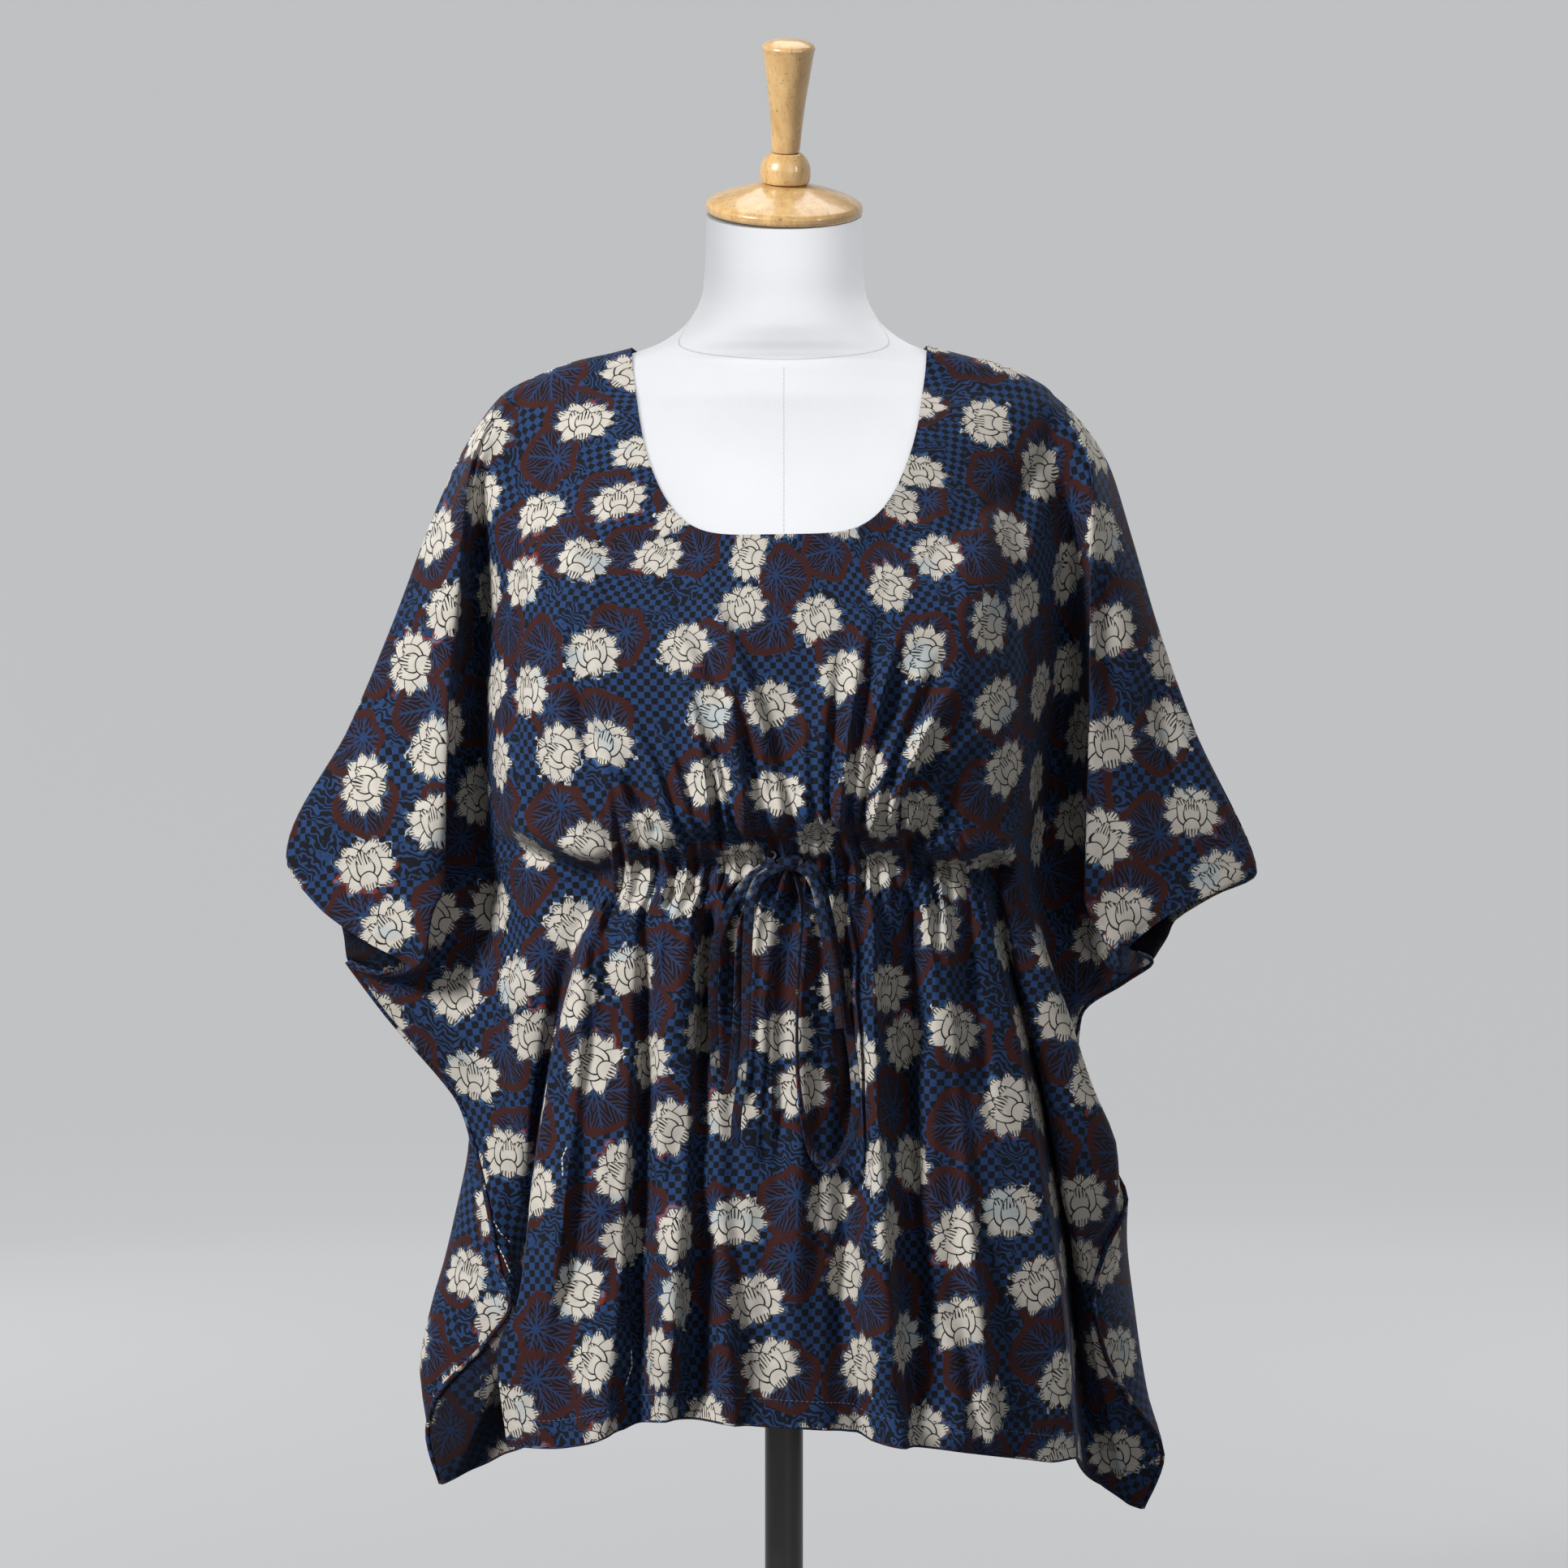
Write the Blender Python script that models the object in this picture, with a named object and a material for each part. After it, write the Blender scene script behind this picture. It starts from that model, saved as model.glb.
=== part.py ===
"""Short kaftan of block-printed cotton, worn by a limbless dress form on a pole.

Frame: metres, +Z up, -Y towards the viewer, +X to the viewer's right, and the
origin in the middle of the underside of the stand's base.

The kaftan is two cut pieces with cut-on sleeves, a front and a back, joined along
the shoulders and the side seams.  Each is one wall.  Its outer points come from
FOLD LINES that run down the cloth: every table below is one fold line, and a row
is (level, across, depth, height[, turn]) in millimetres.  Levels run from 0 at the
neckline to 12 at the hem, and pass the waist at 7 and the sleeve's corner tack at 8.
A curve across the cloth joins the fold lines of one level, and creases and waist
gathers are then pressed into it.
"""

import math

import bmesh
import bpy
import numpy as np
from mathutils import Matrix, Vector

MM = 0.001

# Driving dimensions, millimetres.
WALL = 1.6                 # cloth wall
SEAM_GAP = 0.3             # between neighbouring pieces
CLOTH_LIFT = 1.1           # cloth above the dress form where it rests on it
SAG_ROOM = 1.6             # added to that away from the shoulder's top
BACK_SAG_ROOM = 5.0
EDGE_ROLL = 1.3            # how far the rounding beside a seam drops, below the shoulder
EDGE_FLAT = 2.6            # and how wide it is
FOLD_WIDTH = 5.0           # the rounded nose of a sleeve's fold
WAIST_HEIGHT = 664.0       # drawstring line
GATHER_DEPTH = 3.2         # half depth of one waist gather
GATHER_REACH = 48.0        # how far a gather runs up and down from the drawstring
FRONT_GATHERS = 22
BACK_GATHERS = 17
STRING_RADIUS = 2.4        # drawstring, a flat tube drawn as a round cord

NECK_TOP_Y = 2.0           # middle of the dress form's tilted neck top
NECK_TOP_Z = 1135.0
NECK_TILT = 18.0           # degrees, lower in front
FINIAL_LEAN = 1.6          # degrees, to the viewer's right
FORM_BOTTOM = 440.0
POLE_RADIUS = 13.8
BASE_RADIUS = 200.0
BASE_THICKNESS = 18.0

RING_SIDES = 30            # points round the dress form
TURNED_SIDES = 24          # points round turned pieces

# The dress form: height, half width, depth in front, depth behind, middle depth, tilt.
FORM_SECTIONS = (
    (440, 158, 84, 92, 2, 0),
    (500, 162, 90, 98, 2, 0),
    (560, 152, 86, 92, 2, 0),
    (610, 132, 80, 80, 2, 0),
    (650, 122, 80, 74, 3, 0),
    (700, 128, 92, 80, 4, 0),
    (750, 142, 108, 88, 5, 0),
    (795, 153, 118, 94, 5, 0),
    (840, 160, 115, 102, 5, 0),
    (885, 168, 102, 108, 6, 0),
    (930, 182, 86, 108, 7, 0),
    (965, 194, 68, 96, 8, 0),
    (990, 197, 50, 74, 9, 0),
    (1005, 191, 37, 52, 10, 0),
    (1017, 171, 32, 42, 10, 0),
    (1026, 146, 32, 40, 10, 0),
    (1034, 113, 38, 44, 10, 2),
    (1044, 87, 46, 52, 9, 4),
    (1060, 68, 52, 56, 8, 8),
    (1080, 59, 53, 55, 7, 12),
    (1105, 57, 54, 54, 4, 16),
    (1135, 56.5, 54, 54, 2, 18),
)
FORM_ROUNDNESS = 2.2       # exponent of the torso's sections

# Front, viewer's left.
LEFT_EDGE = (
    (0, -110, 10, 1038.5, 0), (1, -157, 10, 1027, 0), (1.5, -181, 10, 1018, 0),
    (2, -203, 10, 1006, 0), (2.5, -222, 7, 983, 0), (3, -239, 3, 952, 0),
    (3.5, -260, 1, 902, 0), (4, -282, 0, 843, 0), (5, -315, 0, 764, 0),
    (6, -361, 0, 669, 0), (6.4, -337, -16, 634, 60), (6.7, -301, -31, 609, 80),
    (7, -271, -39, 593, 50), (7.5, -291, -20, 586, 110), (8, -316, 0, 593, 0),
    (8.4, -289, 0, 557, 0), (9, -234, 0, 490, 10), (9.5, -225, -6, 464, 35),
    (10, -211, -30, 409, 80), (10.5, -205, -38, 376, 90), (11, -196, -45, 349, 95),
    (11.4, -215, -32, 320, 90), (11.7, -254, -6, 273, 55), (11.85, -258, 0, 251, 30),
    (12, -249, 0, 215, 20),
)
LEFT_SLEEVE_FOLD = (
    (0, -110, 0, 1034), (1, -156, 0, 1021), (2, -206, -8, 993), (3, -227, -25, 942),
    (4, -234, -42, 853), (5, -241, -45, 772), (6, -243, -44, 691), (6.4, -244, -42, 650),
    (6.7, -252, -43, 630), (7, -258, -46, 596), (7.5, -275, -26, 585), (8, -301, -6, 581),
    (9, -223, -12, 496), (10, -206, -29, 412), (11, -191, -37, 346), (12, -238, 2, 219),
)
LEFT_SLEEVE_TUCK = (
    (0, -109, 0, 1031), (1, -156, 0, 1015), (2, -205, -12, 982), (3, -224, -22, 935),
    (4, -233, -30, 851), (5, -242, -27, 769), (6, -252, -20, 690), (6.4, -256, -18, 652),
    (6.7, -258, -20, 634), (7, -255, -27, 600), (7.5, -262, -21, 588), (8, -277, -12, 573),
    (9, -212, -22, 500), (10, -201, -28, 415), (11, -190, -28, 345), (12, -228, 6, 224),
)
LEFT_RECESS = (
    (0, -109, 0, 1026), (1, -155, 0, 1005), (2, -200, -18, 968), (3, -218, -12, 928),
    (4, -220, 0, 849), (5, -223, 4, 770), (6, -223, 4, 696), (7, -221, 2, 652),
    (8, -223, -12, 593), (9, -201, -32, 507), (10, -196, -27, 419), (11, -189.5, -19, 343),
    (12, -216, 8, 229),
)
LEFT_SIDE = (
    (0, -108, 0, 1014), (1, -149, 0, 984), (2, -186, -30, 947), (3, -204, -36, 903),
    (4, -193, -58, 830), (5, -199, -64, 760), (6, -190, -72, 698), (7, -180, -62, 652),
    (8, -186, -60, 592), (9, -188, -48, 514), (10, -190, -27, 423), (11, -189, -10, 343),
    (12, -204, 4, 236),
)
LEFT_WING = (
    (0, -105, 0, 993), (1, -142, 0, 961), (2, -170, -50, 923), (3, -182, -66, 884),
    (4, -175, -84, 817), (5, -175, -90, 757), (6, -164, -92, 697), (7, -152, -76, 651),
    (8, -165, -66, 596), (9, -178, -52, 518), (10, -186, -26, 428), (11, -188, -3, 343),
    (12, -195, -4, 240),
)
LEFT_VALLEY = (
    (0, -102, 0, 976), (1, -134, 0, 943), (2, -153, -72, 904), (3, -158, -90, 866),
    (4, -154, -104, 808), (5, -153, -108, 754), (6, -145, -108, 696), (7, -133, -80, 652),
    (8, -150, -62, 605), (9, -168, -44, 527), (10, -181, -25, 432), (11, -184, -3, 347),
    (12, -188, -16, 244),
)
LEFT_PLEAT = (
    (0, -98, 0, 958), (1, -124, 0, 930), (2, -135, -90, 890), (3, -134, -110, 852),
    (4, -132, -118, 800), (5, -131, -118, 751), (6, -126, -116, 696), (7, -124, -90, 653),
    (8, -140, -94, 612), (9, -161, -100, 537), (10, -176, -104, 443), (11, -186, -104, 362),
    (11.5, -202, -102, 319), (12, -195, -100, 256),
)

# Front, viewer's right.
RIGHT_EDGE = (
    (0, 103, 10, 1040.4, 0), (1, 144, 10, 1030, 0), (1.5, 168, 10, 1022, 0),
    (2, 192, 10, 1007.4, 0), (2.5, 215, 7, 986, 0), (3, 235, 3, 955, 0),
    (3.5, 252, 1, 902, 0), (4, 270, 0, 840, 0), (5, 298, 0, 761, 0),
    (6, 343, 0, 658, 0), (6.4, 317, -16, 646, 60), (6.7, 280, -28, 630, 80),
    (7, 248, -35, 605, 40), (7.5, 257, -14, 600, 100), (8, 266, 0, 593, 0),
    (8.4, 246, 0, 579, 0), (9, 214, 0, 554, 0), (9.3, 211, -4, 520, 15),
    (9.6, 224, -12, 468, 30), (10, 246, -26, 423, 55), (10.4, 230, -38, 387, 85),
    (11, 222, -40, 353, 95), (11.3, 230, -32, 315, 88), (11.5, 247, -18, 282, 75),
    (11.8, 274, 0, 236, 40), (12, 260, 0, 197, 20),
)
RIGHT_SLEEVE_FOLD = (
    (0, 103, 0, 1035), (1, 144, 0, 1022), (2, 195, -8, 993), (3, 222, -25, 942),
    (4, 220, -42, 853), (5, 219, -45, 772), (6, 217, -44, 685), (6.4, 216, -42, 641),
    (6.7, 224, -42, 620), (7, 237, -43, 601), (7.5, 246, -25, 590), (8, 257, -7, 589),
    (9, 209, -8, 553), (9.5, 214, -15, 498), (10, 241, -29.5, 424), (10.4, 224.5, -39.5, 388),
    (11, 217.5, -38, 352), (12, 250, 2, 200),
)
RIGHT_SLEEVE_TUCK = (
    (0, 102, 0, 1031), (1, 143, 0, 1016), (2, 193, -12, 981), (3, 220, -22, 935),
    (4, 219, -30, 851), (5, 219, -27, 769), (6, 222, -22, 685), (6.4, 224, -19, 644),
    (6.7, 228, -20, 624), (7, 234, -26, 602), (7.5, 239, -19, 586), (8, 247, -11, 585),
    (9, 205, -12, 552), (9.5, 211, -20, 499), (10, 240.5, -32.5, 425), (10.4, 222, -43, 389),
    (11, 216, -36, 351), (12, 241, 6, 206),
)
RIGHT_RECESS = (
    (0, 102, 0, 1027), (1, 142, 0, 1007), (2, 188, -18, 968), (3, 203, -12, 928),
    (4, 206, 0, 849), (5, 202, 4, 761), (6, 196, 4, 693), (7, 192, 2, 652),
    (8, 194, -4, 614), (9, 200, -14, 551), (9.5, 211, -27, 500), (10, 240.5, -36, 427),
    (10.4, 220, -46.5, 390), (11, 214.5, -33, 350), (12, 232, 8, 212),
)
RIGHT_SIDE = (
    (0, 101, 0, 1014), (1, 135, 0, 987), (2, 172, -30, 947), (3, 187, -38, 903),
    (4, 178, -60, 835), (5, 175, -66, 766), (6, 170, -74, 702), (7, 165, -70, 661),
    (8, 176, -58, 624), (8.5, 189, -58, 592), (9, 204, -56, 553), (9.5, 221, -52, 505),
    (9.8, 239, -44, 458), (10, 240, -41, 430), (10.4, 216, -51, 391), (11, 213, -27, 349),
    (12, 227, 6, 217),
)
RIGHT_WING = (
    (0, 98, 0, 993), (1, 128, 0, 962), (2, 158, -50, 924), (3, 171, -66, 884),
    (4, 161, -86, 823), (5, 159, -92, 763), (6, 156, -94, 701), (7, 156, -74, 658),
    (8, 162, -66, 610), (9, 179, -70, 539), (9.5, 191, -70, 483), (10, 200, -64, 429),
    (10.4, 210, -50, 386), (11, 211.5, -15, 347), (12, 222, 3, 220),
)
RIGHT_VALLEY = (
    (0, 95, 0, 976), (1, 120, 0, 946), (2, 142, -72, 905), (3, 149, -90, 868),
    (4, 142, -104, 813), (5, 140, -108, 760), (6, 141, -108, 699), (7, 150, -64, 656),
    (8, 159, -50, 608), (9, 178, -42, 537), (10, 200, -28, 428), (10.4, 206, -16, 382),
    (11, 209, -1, 345), (12, 217, -12, 228),
)
RIGHT_PLEAT = (
    (0, 91, 0, 961), (1, 111, 0, 933), (2, 124, -90, 892), (3, 126, -110, 854),
    (4, 123, -118, 804), (5, 121, -118, 756), (6, 124, -116, 698), (7, 139, -84, 655),
    (8, 147, -84, 612), (9, 163, -90, 547), (10, 182, -94, 442), (11, 196, -92, 355),
    (12, 207, -74, 244),
)

# The middle of the front and of the back: level, depth, height, flatness of the row.
FRONT_MIDDLE = (
    (0, -99, 897, 4.8), (1, -110, 874, 4.2), (2, -119, 849, 3.4), (3, -127, 819, 2.8),
    (4, -131, 782, 2.4), (5, -130, 742, 2.0), (6, -128, 703, 2.0), (7, -106, 667, 2.0),
    (8, -112, 631, 2.0), (9, -122, 554, 2.0), (10, -127, 453, 2.0), (11, -130, 363, 2.0),
    (12, -132, 274, 2.0),
)
BACK_MIDDLE = (
    (0, 92, 1008, 3.0), (1, 110, 962, 2.6), (2, 122, 915, 2.2), (3, 129, 872, 2.0),
    (4, 131, 815, 2.0), (5, 129, 752, 2.0), (6, 124, 697, 2.0), (7, 100, 658, 2.0),
    (8, 107, 606, 2.0), (9, 121, 520, 2.0), (10, 131, 428, 2.0), (11, 136, 340, 2.0),
    (12, 137, 258, 2.0),
)

# Back: the sleeve opening's own edge, then fold lines like the front's but calmer.
LEFT_BACK_OPENING = (
    (6, -361, 0, 669, 0), (6.4, -338, 14, 642, -60), (6.7, -324, 20, 624, -80),
    (7, -321, 20, 612, -80), (7.5, -319, 12, 601, -60), (8, -316, 0, 593, 0),
)
LEFT_BACK_FOLD = (
    (0, -107, 0, 1036), (1, -157, 0, 1022), (2, -207, 26, 992), (3, -230, 38, 942),
    (4, -240, 48, 853), (5, -248, 52, 772), (6, -252, 52, 690), (6.7, -262, 50, 640),
    (7, -272, 46, 622), (8, -298, 12, 588), (9, -236, 16, 492), (9.5, -229, 6, 463),
    (10, -239, 5, 409), (10.5, -247, 8, 376), (11, -256, 10, 345), (11.4, -265, 12, 300),
    (11.7, -263, 8, 281), (11.85, -258, 10, 255), (12, -240, 14, 222),
)
LEFT_BACK_RECESS = (
    (0, -103, 0, 1033), (1, -155, 0, 1012), (2, -200, 40, 968), (3, -216, 30, 928),
    (4, -218, 18, 849), (5, -222, 17, 770), (6, -222, 17, 700), (7, -225, 18, 650),
    (8, -232, 26, 595), (9, -215, 42, 500), (10, -215, 50, 410), (11, -215, 52, 335),
    (12, -222, 30, 232),
)
LEFT_BACK_SIDE = (
    (0, -96, 0, 1028), (1, -148, 0, 998), (2, -182, 70, 945), (3, -196, 72, 900),
    (4, -190, 84, 830), (5, -192, 90, 760), (6, -184, 92, 700), (7, -168, 84, 652),
    (8, -180, 80, 597), (9, -190, 82, 510), (10, -196, 88, 420), (11, -202, 92, 338),
    (12, -205, 84, 246),
)
LEFT_BACK_PLEAT = (
    (0, -88, 0, 1022), (1, -132, 0, 985), (2, -150, 96, 930), (3, -150, 108, 885),
    (4, -145, 114, 822), (5, -143, 116, 755), (6, -138, 112, 698), (7, -125, 92, 655),
    (8, -140, 98, 606), (9, -158, 108, 520), (10, -172, 116, 428), (11, -182, 120, 340),
    (12, -190, 118, 262),
)
RIGHT_BACK_OPENING = (
    (6, 343, 0, 658, 0), (6.4, 312, 12, 640, -60), (6.7, 284, 20, 621, -80),
    (7, 280, 22, 611, -80), (7.5, 273, 12, 601, -60), (8, 266, 0, 593, 0),
)
RIGHT_BACK_FOLD = (
    (0, 100, 0, 1037), (1, 144, 0, 1023), (2, 200, 26, 990), (3, 226, 38, 942),
    (4, 230, 48, 853), (5, 234, 52, 772), (6, 236, 52, 690), (6.7, 244, 50, 640),
    (7, 248, 46, 622), (8, 252, 14, 588), (9, 212, 16, 553), (9.5, 215, 20, 500),
    (10, 246, -8, 424), (10.4, 249, 4, 385), (11, 254, 8, 347), (11.3, 259, 8, 310),
    (11.5, 264, 8, 280), (11.8, 274, 10, 238), (12, 252, 12, 203),
)
RIGHT_BACK_RECESS = (
    (0, 96, 0, 1034), (1, 142, 0, 1013), (2, 195, 42, 966), (3, 205, 30, 928),
    (4, 208, 18, 849), (5, 204, 17, 765), (6, 198, 17, 698), (7, 200, 18, 650),
    (8, 210, 24, 600), (9, 205, 38, 545), (10, 214, 48, 425), (11, 216, 50, 340),
    (12, 224, 30, 215),
)
RIGHT_BACK_SIDE = (
    (0, 90, 0, 1029), (1, 136, 0, 999), (2, 173, 70, 945), (3, 186, 74, 900),
    (4, 180, 86, 832), (5, 178, 92, 762), (6, 170, 94, 702), (7, 160, 84, 655),
    (8, 170, 80, 606), (9, 182, 82, 535), (10, 196, 86, 430), (11, 204, 90, 345),
    (12, 212, 82, 232),
)
RIGHT_BACK_PLEAT = (
    (0, 84, 0, 1023), (1, 124, 0, 986), (2, 142, 96, 932), (3, 144, 108, 886),
    (4, 138, 114, 824), (5, 134, 116, 757), (6, 130, 112, 699), (7, 120, 92, 655),
    (8, 134, 98, 608), (9, 152, 108, 525), (10, 170, 116, 432), (11, 184, 120, 342),
    (12, 196, 118, 256),
)

# Creases: across and height where it starts, the same where it ends, sideways bow,
# half width, depth (negative: a ridge), how soon it fades in and out as shares of it.
FRONT_CREASES = (
    # skirt, from the viewer's left
    (-118, 640, -122, 262, -3, 9, 9, 0.3, 0.0),
    (-103, 640, -98, 262, 3, 10, 14, 0.25, 0.0),
    (-66, 645, -64, 262, -5, 11, 16, 0.2, 0.1),
    (-38, 640, -28, 262, 2, 8, 7, 0.3, 0.2),
    (-8, 640, -12, 262, 4, 12, 8, 0.4, 0.2),
    (18, 640, 22, 262, 0, 9, 7, 0.3, 0.3),
    (55, 652, 56, 262, 12, 11, 18, 0.15, 0.0),
    (82, 640, 92, 262, 2, 9, 13, 0.2, 0.1),
    (118, 640, 130, 262, 4, 10, 8, 0.3, 0.1),
    # bodice, pulled up and outwards from the drawstring
    (82, 672, 128, 738, 5, 7, 11, 0.15, 0.6),
    (50, 672, 62, 780, 2, 7, 9, 0.15, 0.7),
    (22, 675, 34, 770, 0, 6, 6, 0.15, 0.7),
    (-44, 675, -50, 770, 0, 6, 8, 0.15, 0.7),
    (-88, 668, -112, 752, -3, 7, 9, 0.15, 0.6),
    (-12, 675, -8, 760, 0, 6, 5, 0.15, 0.7),
    (-118, 659, -206, 692, -6, 6, 13, 0.2, 0.3),
    (92, 661, 166, 662, -5, 6, 12, 0.2, 0.2),
    # shoulders and bust
    (-196, 985, -180, 800, 4, 9, 6, 0.3, 0.6),
    (172, 975, 152, 800, -4, 9, 6, 0.3, 0.6),
)
BACK_CREASES = (
    (-112, 640, -118, 258, 0, 10, 12, 0.25, 0.0),
    (-72, 640, -70, 258, 4, 11, 15, 0.2, 0.0),
    (-30, 640, -34, 258, -3, 10, 10, 0.25, 0.0),
    (8, 640, 12, 258, 3, 11, 13, 0.2, 0.0),
    (48, 640, 46, 258, -3, 10, 11, 0.25, 0.0),
    (90, 640, 104, 258, 3, 11, 14, 0.2, 0.0),
    (-90, 672, -124, 760, 0, 8, 9, 0.15, 0.6),
    (-40, 672, -50, 780, 0, 7, 7, 0.15, 0.7),
    (30, 672, 36, 780, 0, 7, 7, 0.15, 0.7),
    (86, 672, 118, 760, 0, 8, 9, 0.15, 0.6),
)
# The front hem's rise and fall from an even curve: share across, millimetres.
HEM_WAVE = ((0, 0), (0.1, -6), (0.28, 7), (0.45, 0), (0.61, -3), (0.64, -8), (0.78, -8),
            (0.95, -6), (1, 0))

# Rows of the walls, as levels, and columns, as fold-line interval plus share of it.
FRONT_LEVELS = (0, 0.5, 1, 1.5, 2, 2.5, 3, 3.5, 4, 4.5, 5, 5.5, 6, 6.4, 6.7, 7, 7.5, 8, 8.5,
                9, 9.5, 10, 10.5, 11, 11.4, 11.8, 12)
BACK_LEVELS = (0, 0.6, 1.1, 1.6, 2, 2.5, 3, 3.5, 4, 4.7, 5.4, 6, 6.5, 7, 7.5, 8, 8.5, 9, 9.5,
               10, 10.5, 11, 11.4, 11.8, 12)
FRONT_SIDE_STATIONS = (0, 1, 1.5, 2, 3, 4, 4.5, 5, 6, 6.5, 7, 8)
BACK_SIDE_STATIONS = (0, 1, 1.5, 2, 2.5, 3, 3.5, 4)

# The bow, as across, depth and height through the middle of each strand.
STRING_MIDDLE = (4, -114.9, 667)
LEFT_LOOP_ROUTE = (
    (-6.7, -115.6, 668), (-12, -117.6, 665.5), (-24, -121, 656), (-38, -124, 636),
    (-47, -126, 612),
    (-49.5, -127, 580), (-48.5, -128.5, 540), (-46.5, -129, 516), (-41.5, -130, 508),
    (-36.5, -130, 516), (-33.5, -130, 545), (-32, -129.5, 580), (-31.5, -129, 606),
    (-28.5, -127, 628), (-20, -124, 644), (-10, -122, 654),
)
LEFT_TAIL_ROUTE = (
    (-2, -119.7, 664), (-9, -124.2, 661.5), (-17, -130, 656), (-23, -134, 643),
    (-25, -136, 620),
    (-26, -137.5, 590), (-27, -138, 550), (-29, -138, 520), (-33, -138, 490), (-34, -138, 470),
)
RIGHT_LOOP_ROUTE = (
    (15.1, -115.6, 667.5), (19, -117.5, 664), (25, -121, 655), (30, -125, 634),
    (37, -128, 600), (41, -129, 570),
    (46, -130, 545), (49, -130, 522), (50, -130.5, 496), (46, -131, 474), (37, -131, 459),
    (29, -131, 454), (21, -131, 463), (14, -131, 486), (10, -131, 515), (9, -131, 550),
    (10, -130, 590), (12, -127, 622), (12, -123, 642), (9, -120, 657),
)
RIGHT_TAIL_ROUTE = (
    (10, -119.4, 664), (16, -124.8, 660), (22, -131, 650), (27, -135, 625),
    (32, -137, 600), (36, -138, 572),
    (39, -138, 552),
)


def table_curve(rows, at):
    """A table's columns at the given levels: cubic pieces that never overshoot a row."""
    data = np.asarray(rows, float)
    knots, values = data[:, 0], data[:, 1:]
    gaps = np.diff(knots)[:, None]
    slopes = np.diff(values, axis=0) / gaps
    before, after = slopes[:-1], slopes[1:]
    same_way = before * after > 0
    total = np.where(same_way, before + after, 1.0)
    tangents = np.vstack((slopes[:1], np.where(same_way, 2 * before * after / total, 0), slopes[-1:]))
    at = np.clip(np.asarray(at, float), knots[0], knots[-1])
    low = np.clip(np.searchsorted(knots, at, side="right") - 1, 0, len(gaps) - 1)
    gap = gaps[low]
    t = ((at - knots[low]) / gap[:, 0])[:, None]
    rise = t * t * (3 - 2 * t)
    return (values[low] * (1 - rise) + values[low + 1] * rise
            + gap * (tangents[low] * t * (1 - t) ** 2 - tangents[low + 1] * t * t * (1 - t)))


def join_across(lines, stations):
    """Points at stations along a centripetal Catmull-Rom curve through fold lines.

    lines has one row of points for each level, and a station is an interval plus a share.
    """
    steps = np.sqrt(np.linalg.norm(np.diff(lines, axis=1), axis=2, keepdims=True)) + 1e-6
    chords = np.diff(lines, axis=1) / steps
    across_two = (lines[:, 2:] - lines[:, :-2]) / (steps[:, :-1] + steps[:, 1:])
    middle = chords[:, :-1] - across_two + chords[:, 1:]
    tangents = np.concatenate((chords[:, :1], middle, chords[:, -1:]), axis=1)
    stations = np.asarray(stations, float)
    low = np.clip(stations.astype(int), 0, lines.shape[1] - 2)
    t = (stations - low)[None, :, None]
    rise = t * t * (3 - 2 * t)
    return (lines[:, low] * (1 - rise) + lines[:, low + 1] * rise
            + steps[:, low] * (tangents[:, low] * t * (1 - t) ** 2
                               - tangents[:, low + 1] * t * t * (1 - t)))


def form_sections(height):
    """Half width, depth in front, depth behind and middle depth of the form at heights."""
    rows = np.asarray(FORM_SECTIONS, float)[:, :5]
    return np.moveaxis(table_curve(rows, height.ravel()).reshape(height.shape + (4,)), -1, 0)


def form_share(x, y, z):
    """A point's share of the form's section at its height, less one: 0 is on the form."""
    half, front, back, middle = form_sections(z)
    reach = np.where(y < middle, front, back)
    power = FORM_ROUNDNESS
    return (np.abs(x / half) ** power + np.abs((y - middle) / reach) ** power) ** (1 / power) - 1


def form_distance(points):
    """Distance outside the form, true close to it, and the shortest way out."""
    x, y, z = np.moveaxis(points, -1, 0)
    step = 0.5
    slope = np.stack((form_share(x + step, y, z) - form_share(x - step, y, z),
                      form_share(x, y + step, z) - form_share(x, y - step, z),
                      form_share(x, y, z + step) - form_share(x, y, z - step)), axis=-1) / (2 * step)
    steepness = np.linalg.norm(slope, axis=-1, keepdims=True) + 1e-9
    return form_share(x, y, z) / steepness[..., 0], slope / steepness


def keep_off_form(points, side, lift):
    """Push cloth that would enter the dress form out of it.

    First along the depth alone, which brings a point inside the form to its surface,
    then the shortest way out, with a soft change-over.
    """
    half, front, back, middle = form_sections(points[..., 2] - lift)
    share = np.clip(np.abs(points[..., 0]) / (half + lift), 0, 1)
    rounded = (1 - share ** FORM_ROUNDNESS) ** (1 / FORM_ROUNDNESS)
    limit = middle + side * rounded * (front if side < 0 else back)
    room = (points[..., 1] - limit) * side
    points[..., 1] += side * np.where((room < 0) & (share < 1), -room, 0)
    soft = 2.5
    for turn in range(3):
        room, way = form_distance(points)
        room = room - WALL - lift
        near = (soft - room) ** 2 / (4 * soft)
        push = np.where(room < -soft, -room, np.where(room < soft, near, 0))
        if turn:
            push = np.maximum(-room, 0)
        points += way * np.clip(push, 0, 8)[..., None]


def form_lift(points, side):
    """The room left under the cloth: least on top of the shoulders, which carry it."""
    beside = np.clip(np.abs(points[..., 1] - 10) / 40, 0, 1)
    return CLOTH_LIFT + (SAG_ROOM if side < 0 else BACK_SAG_ROOM) * beside


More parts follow.
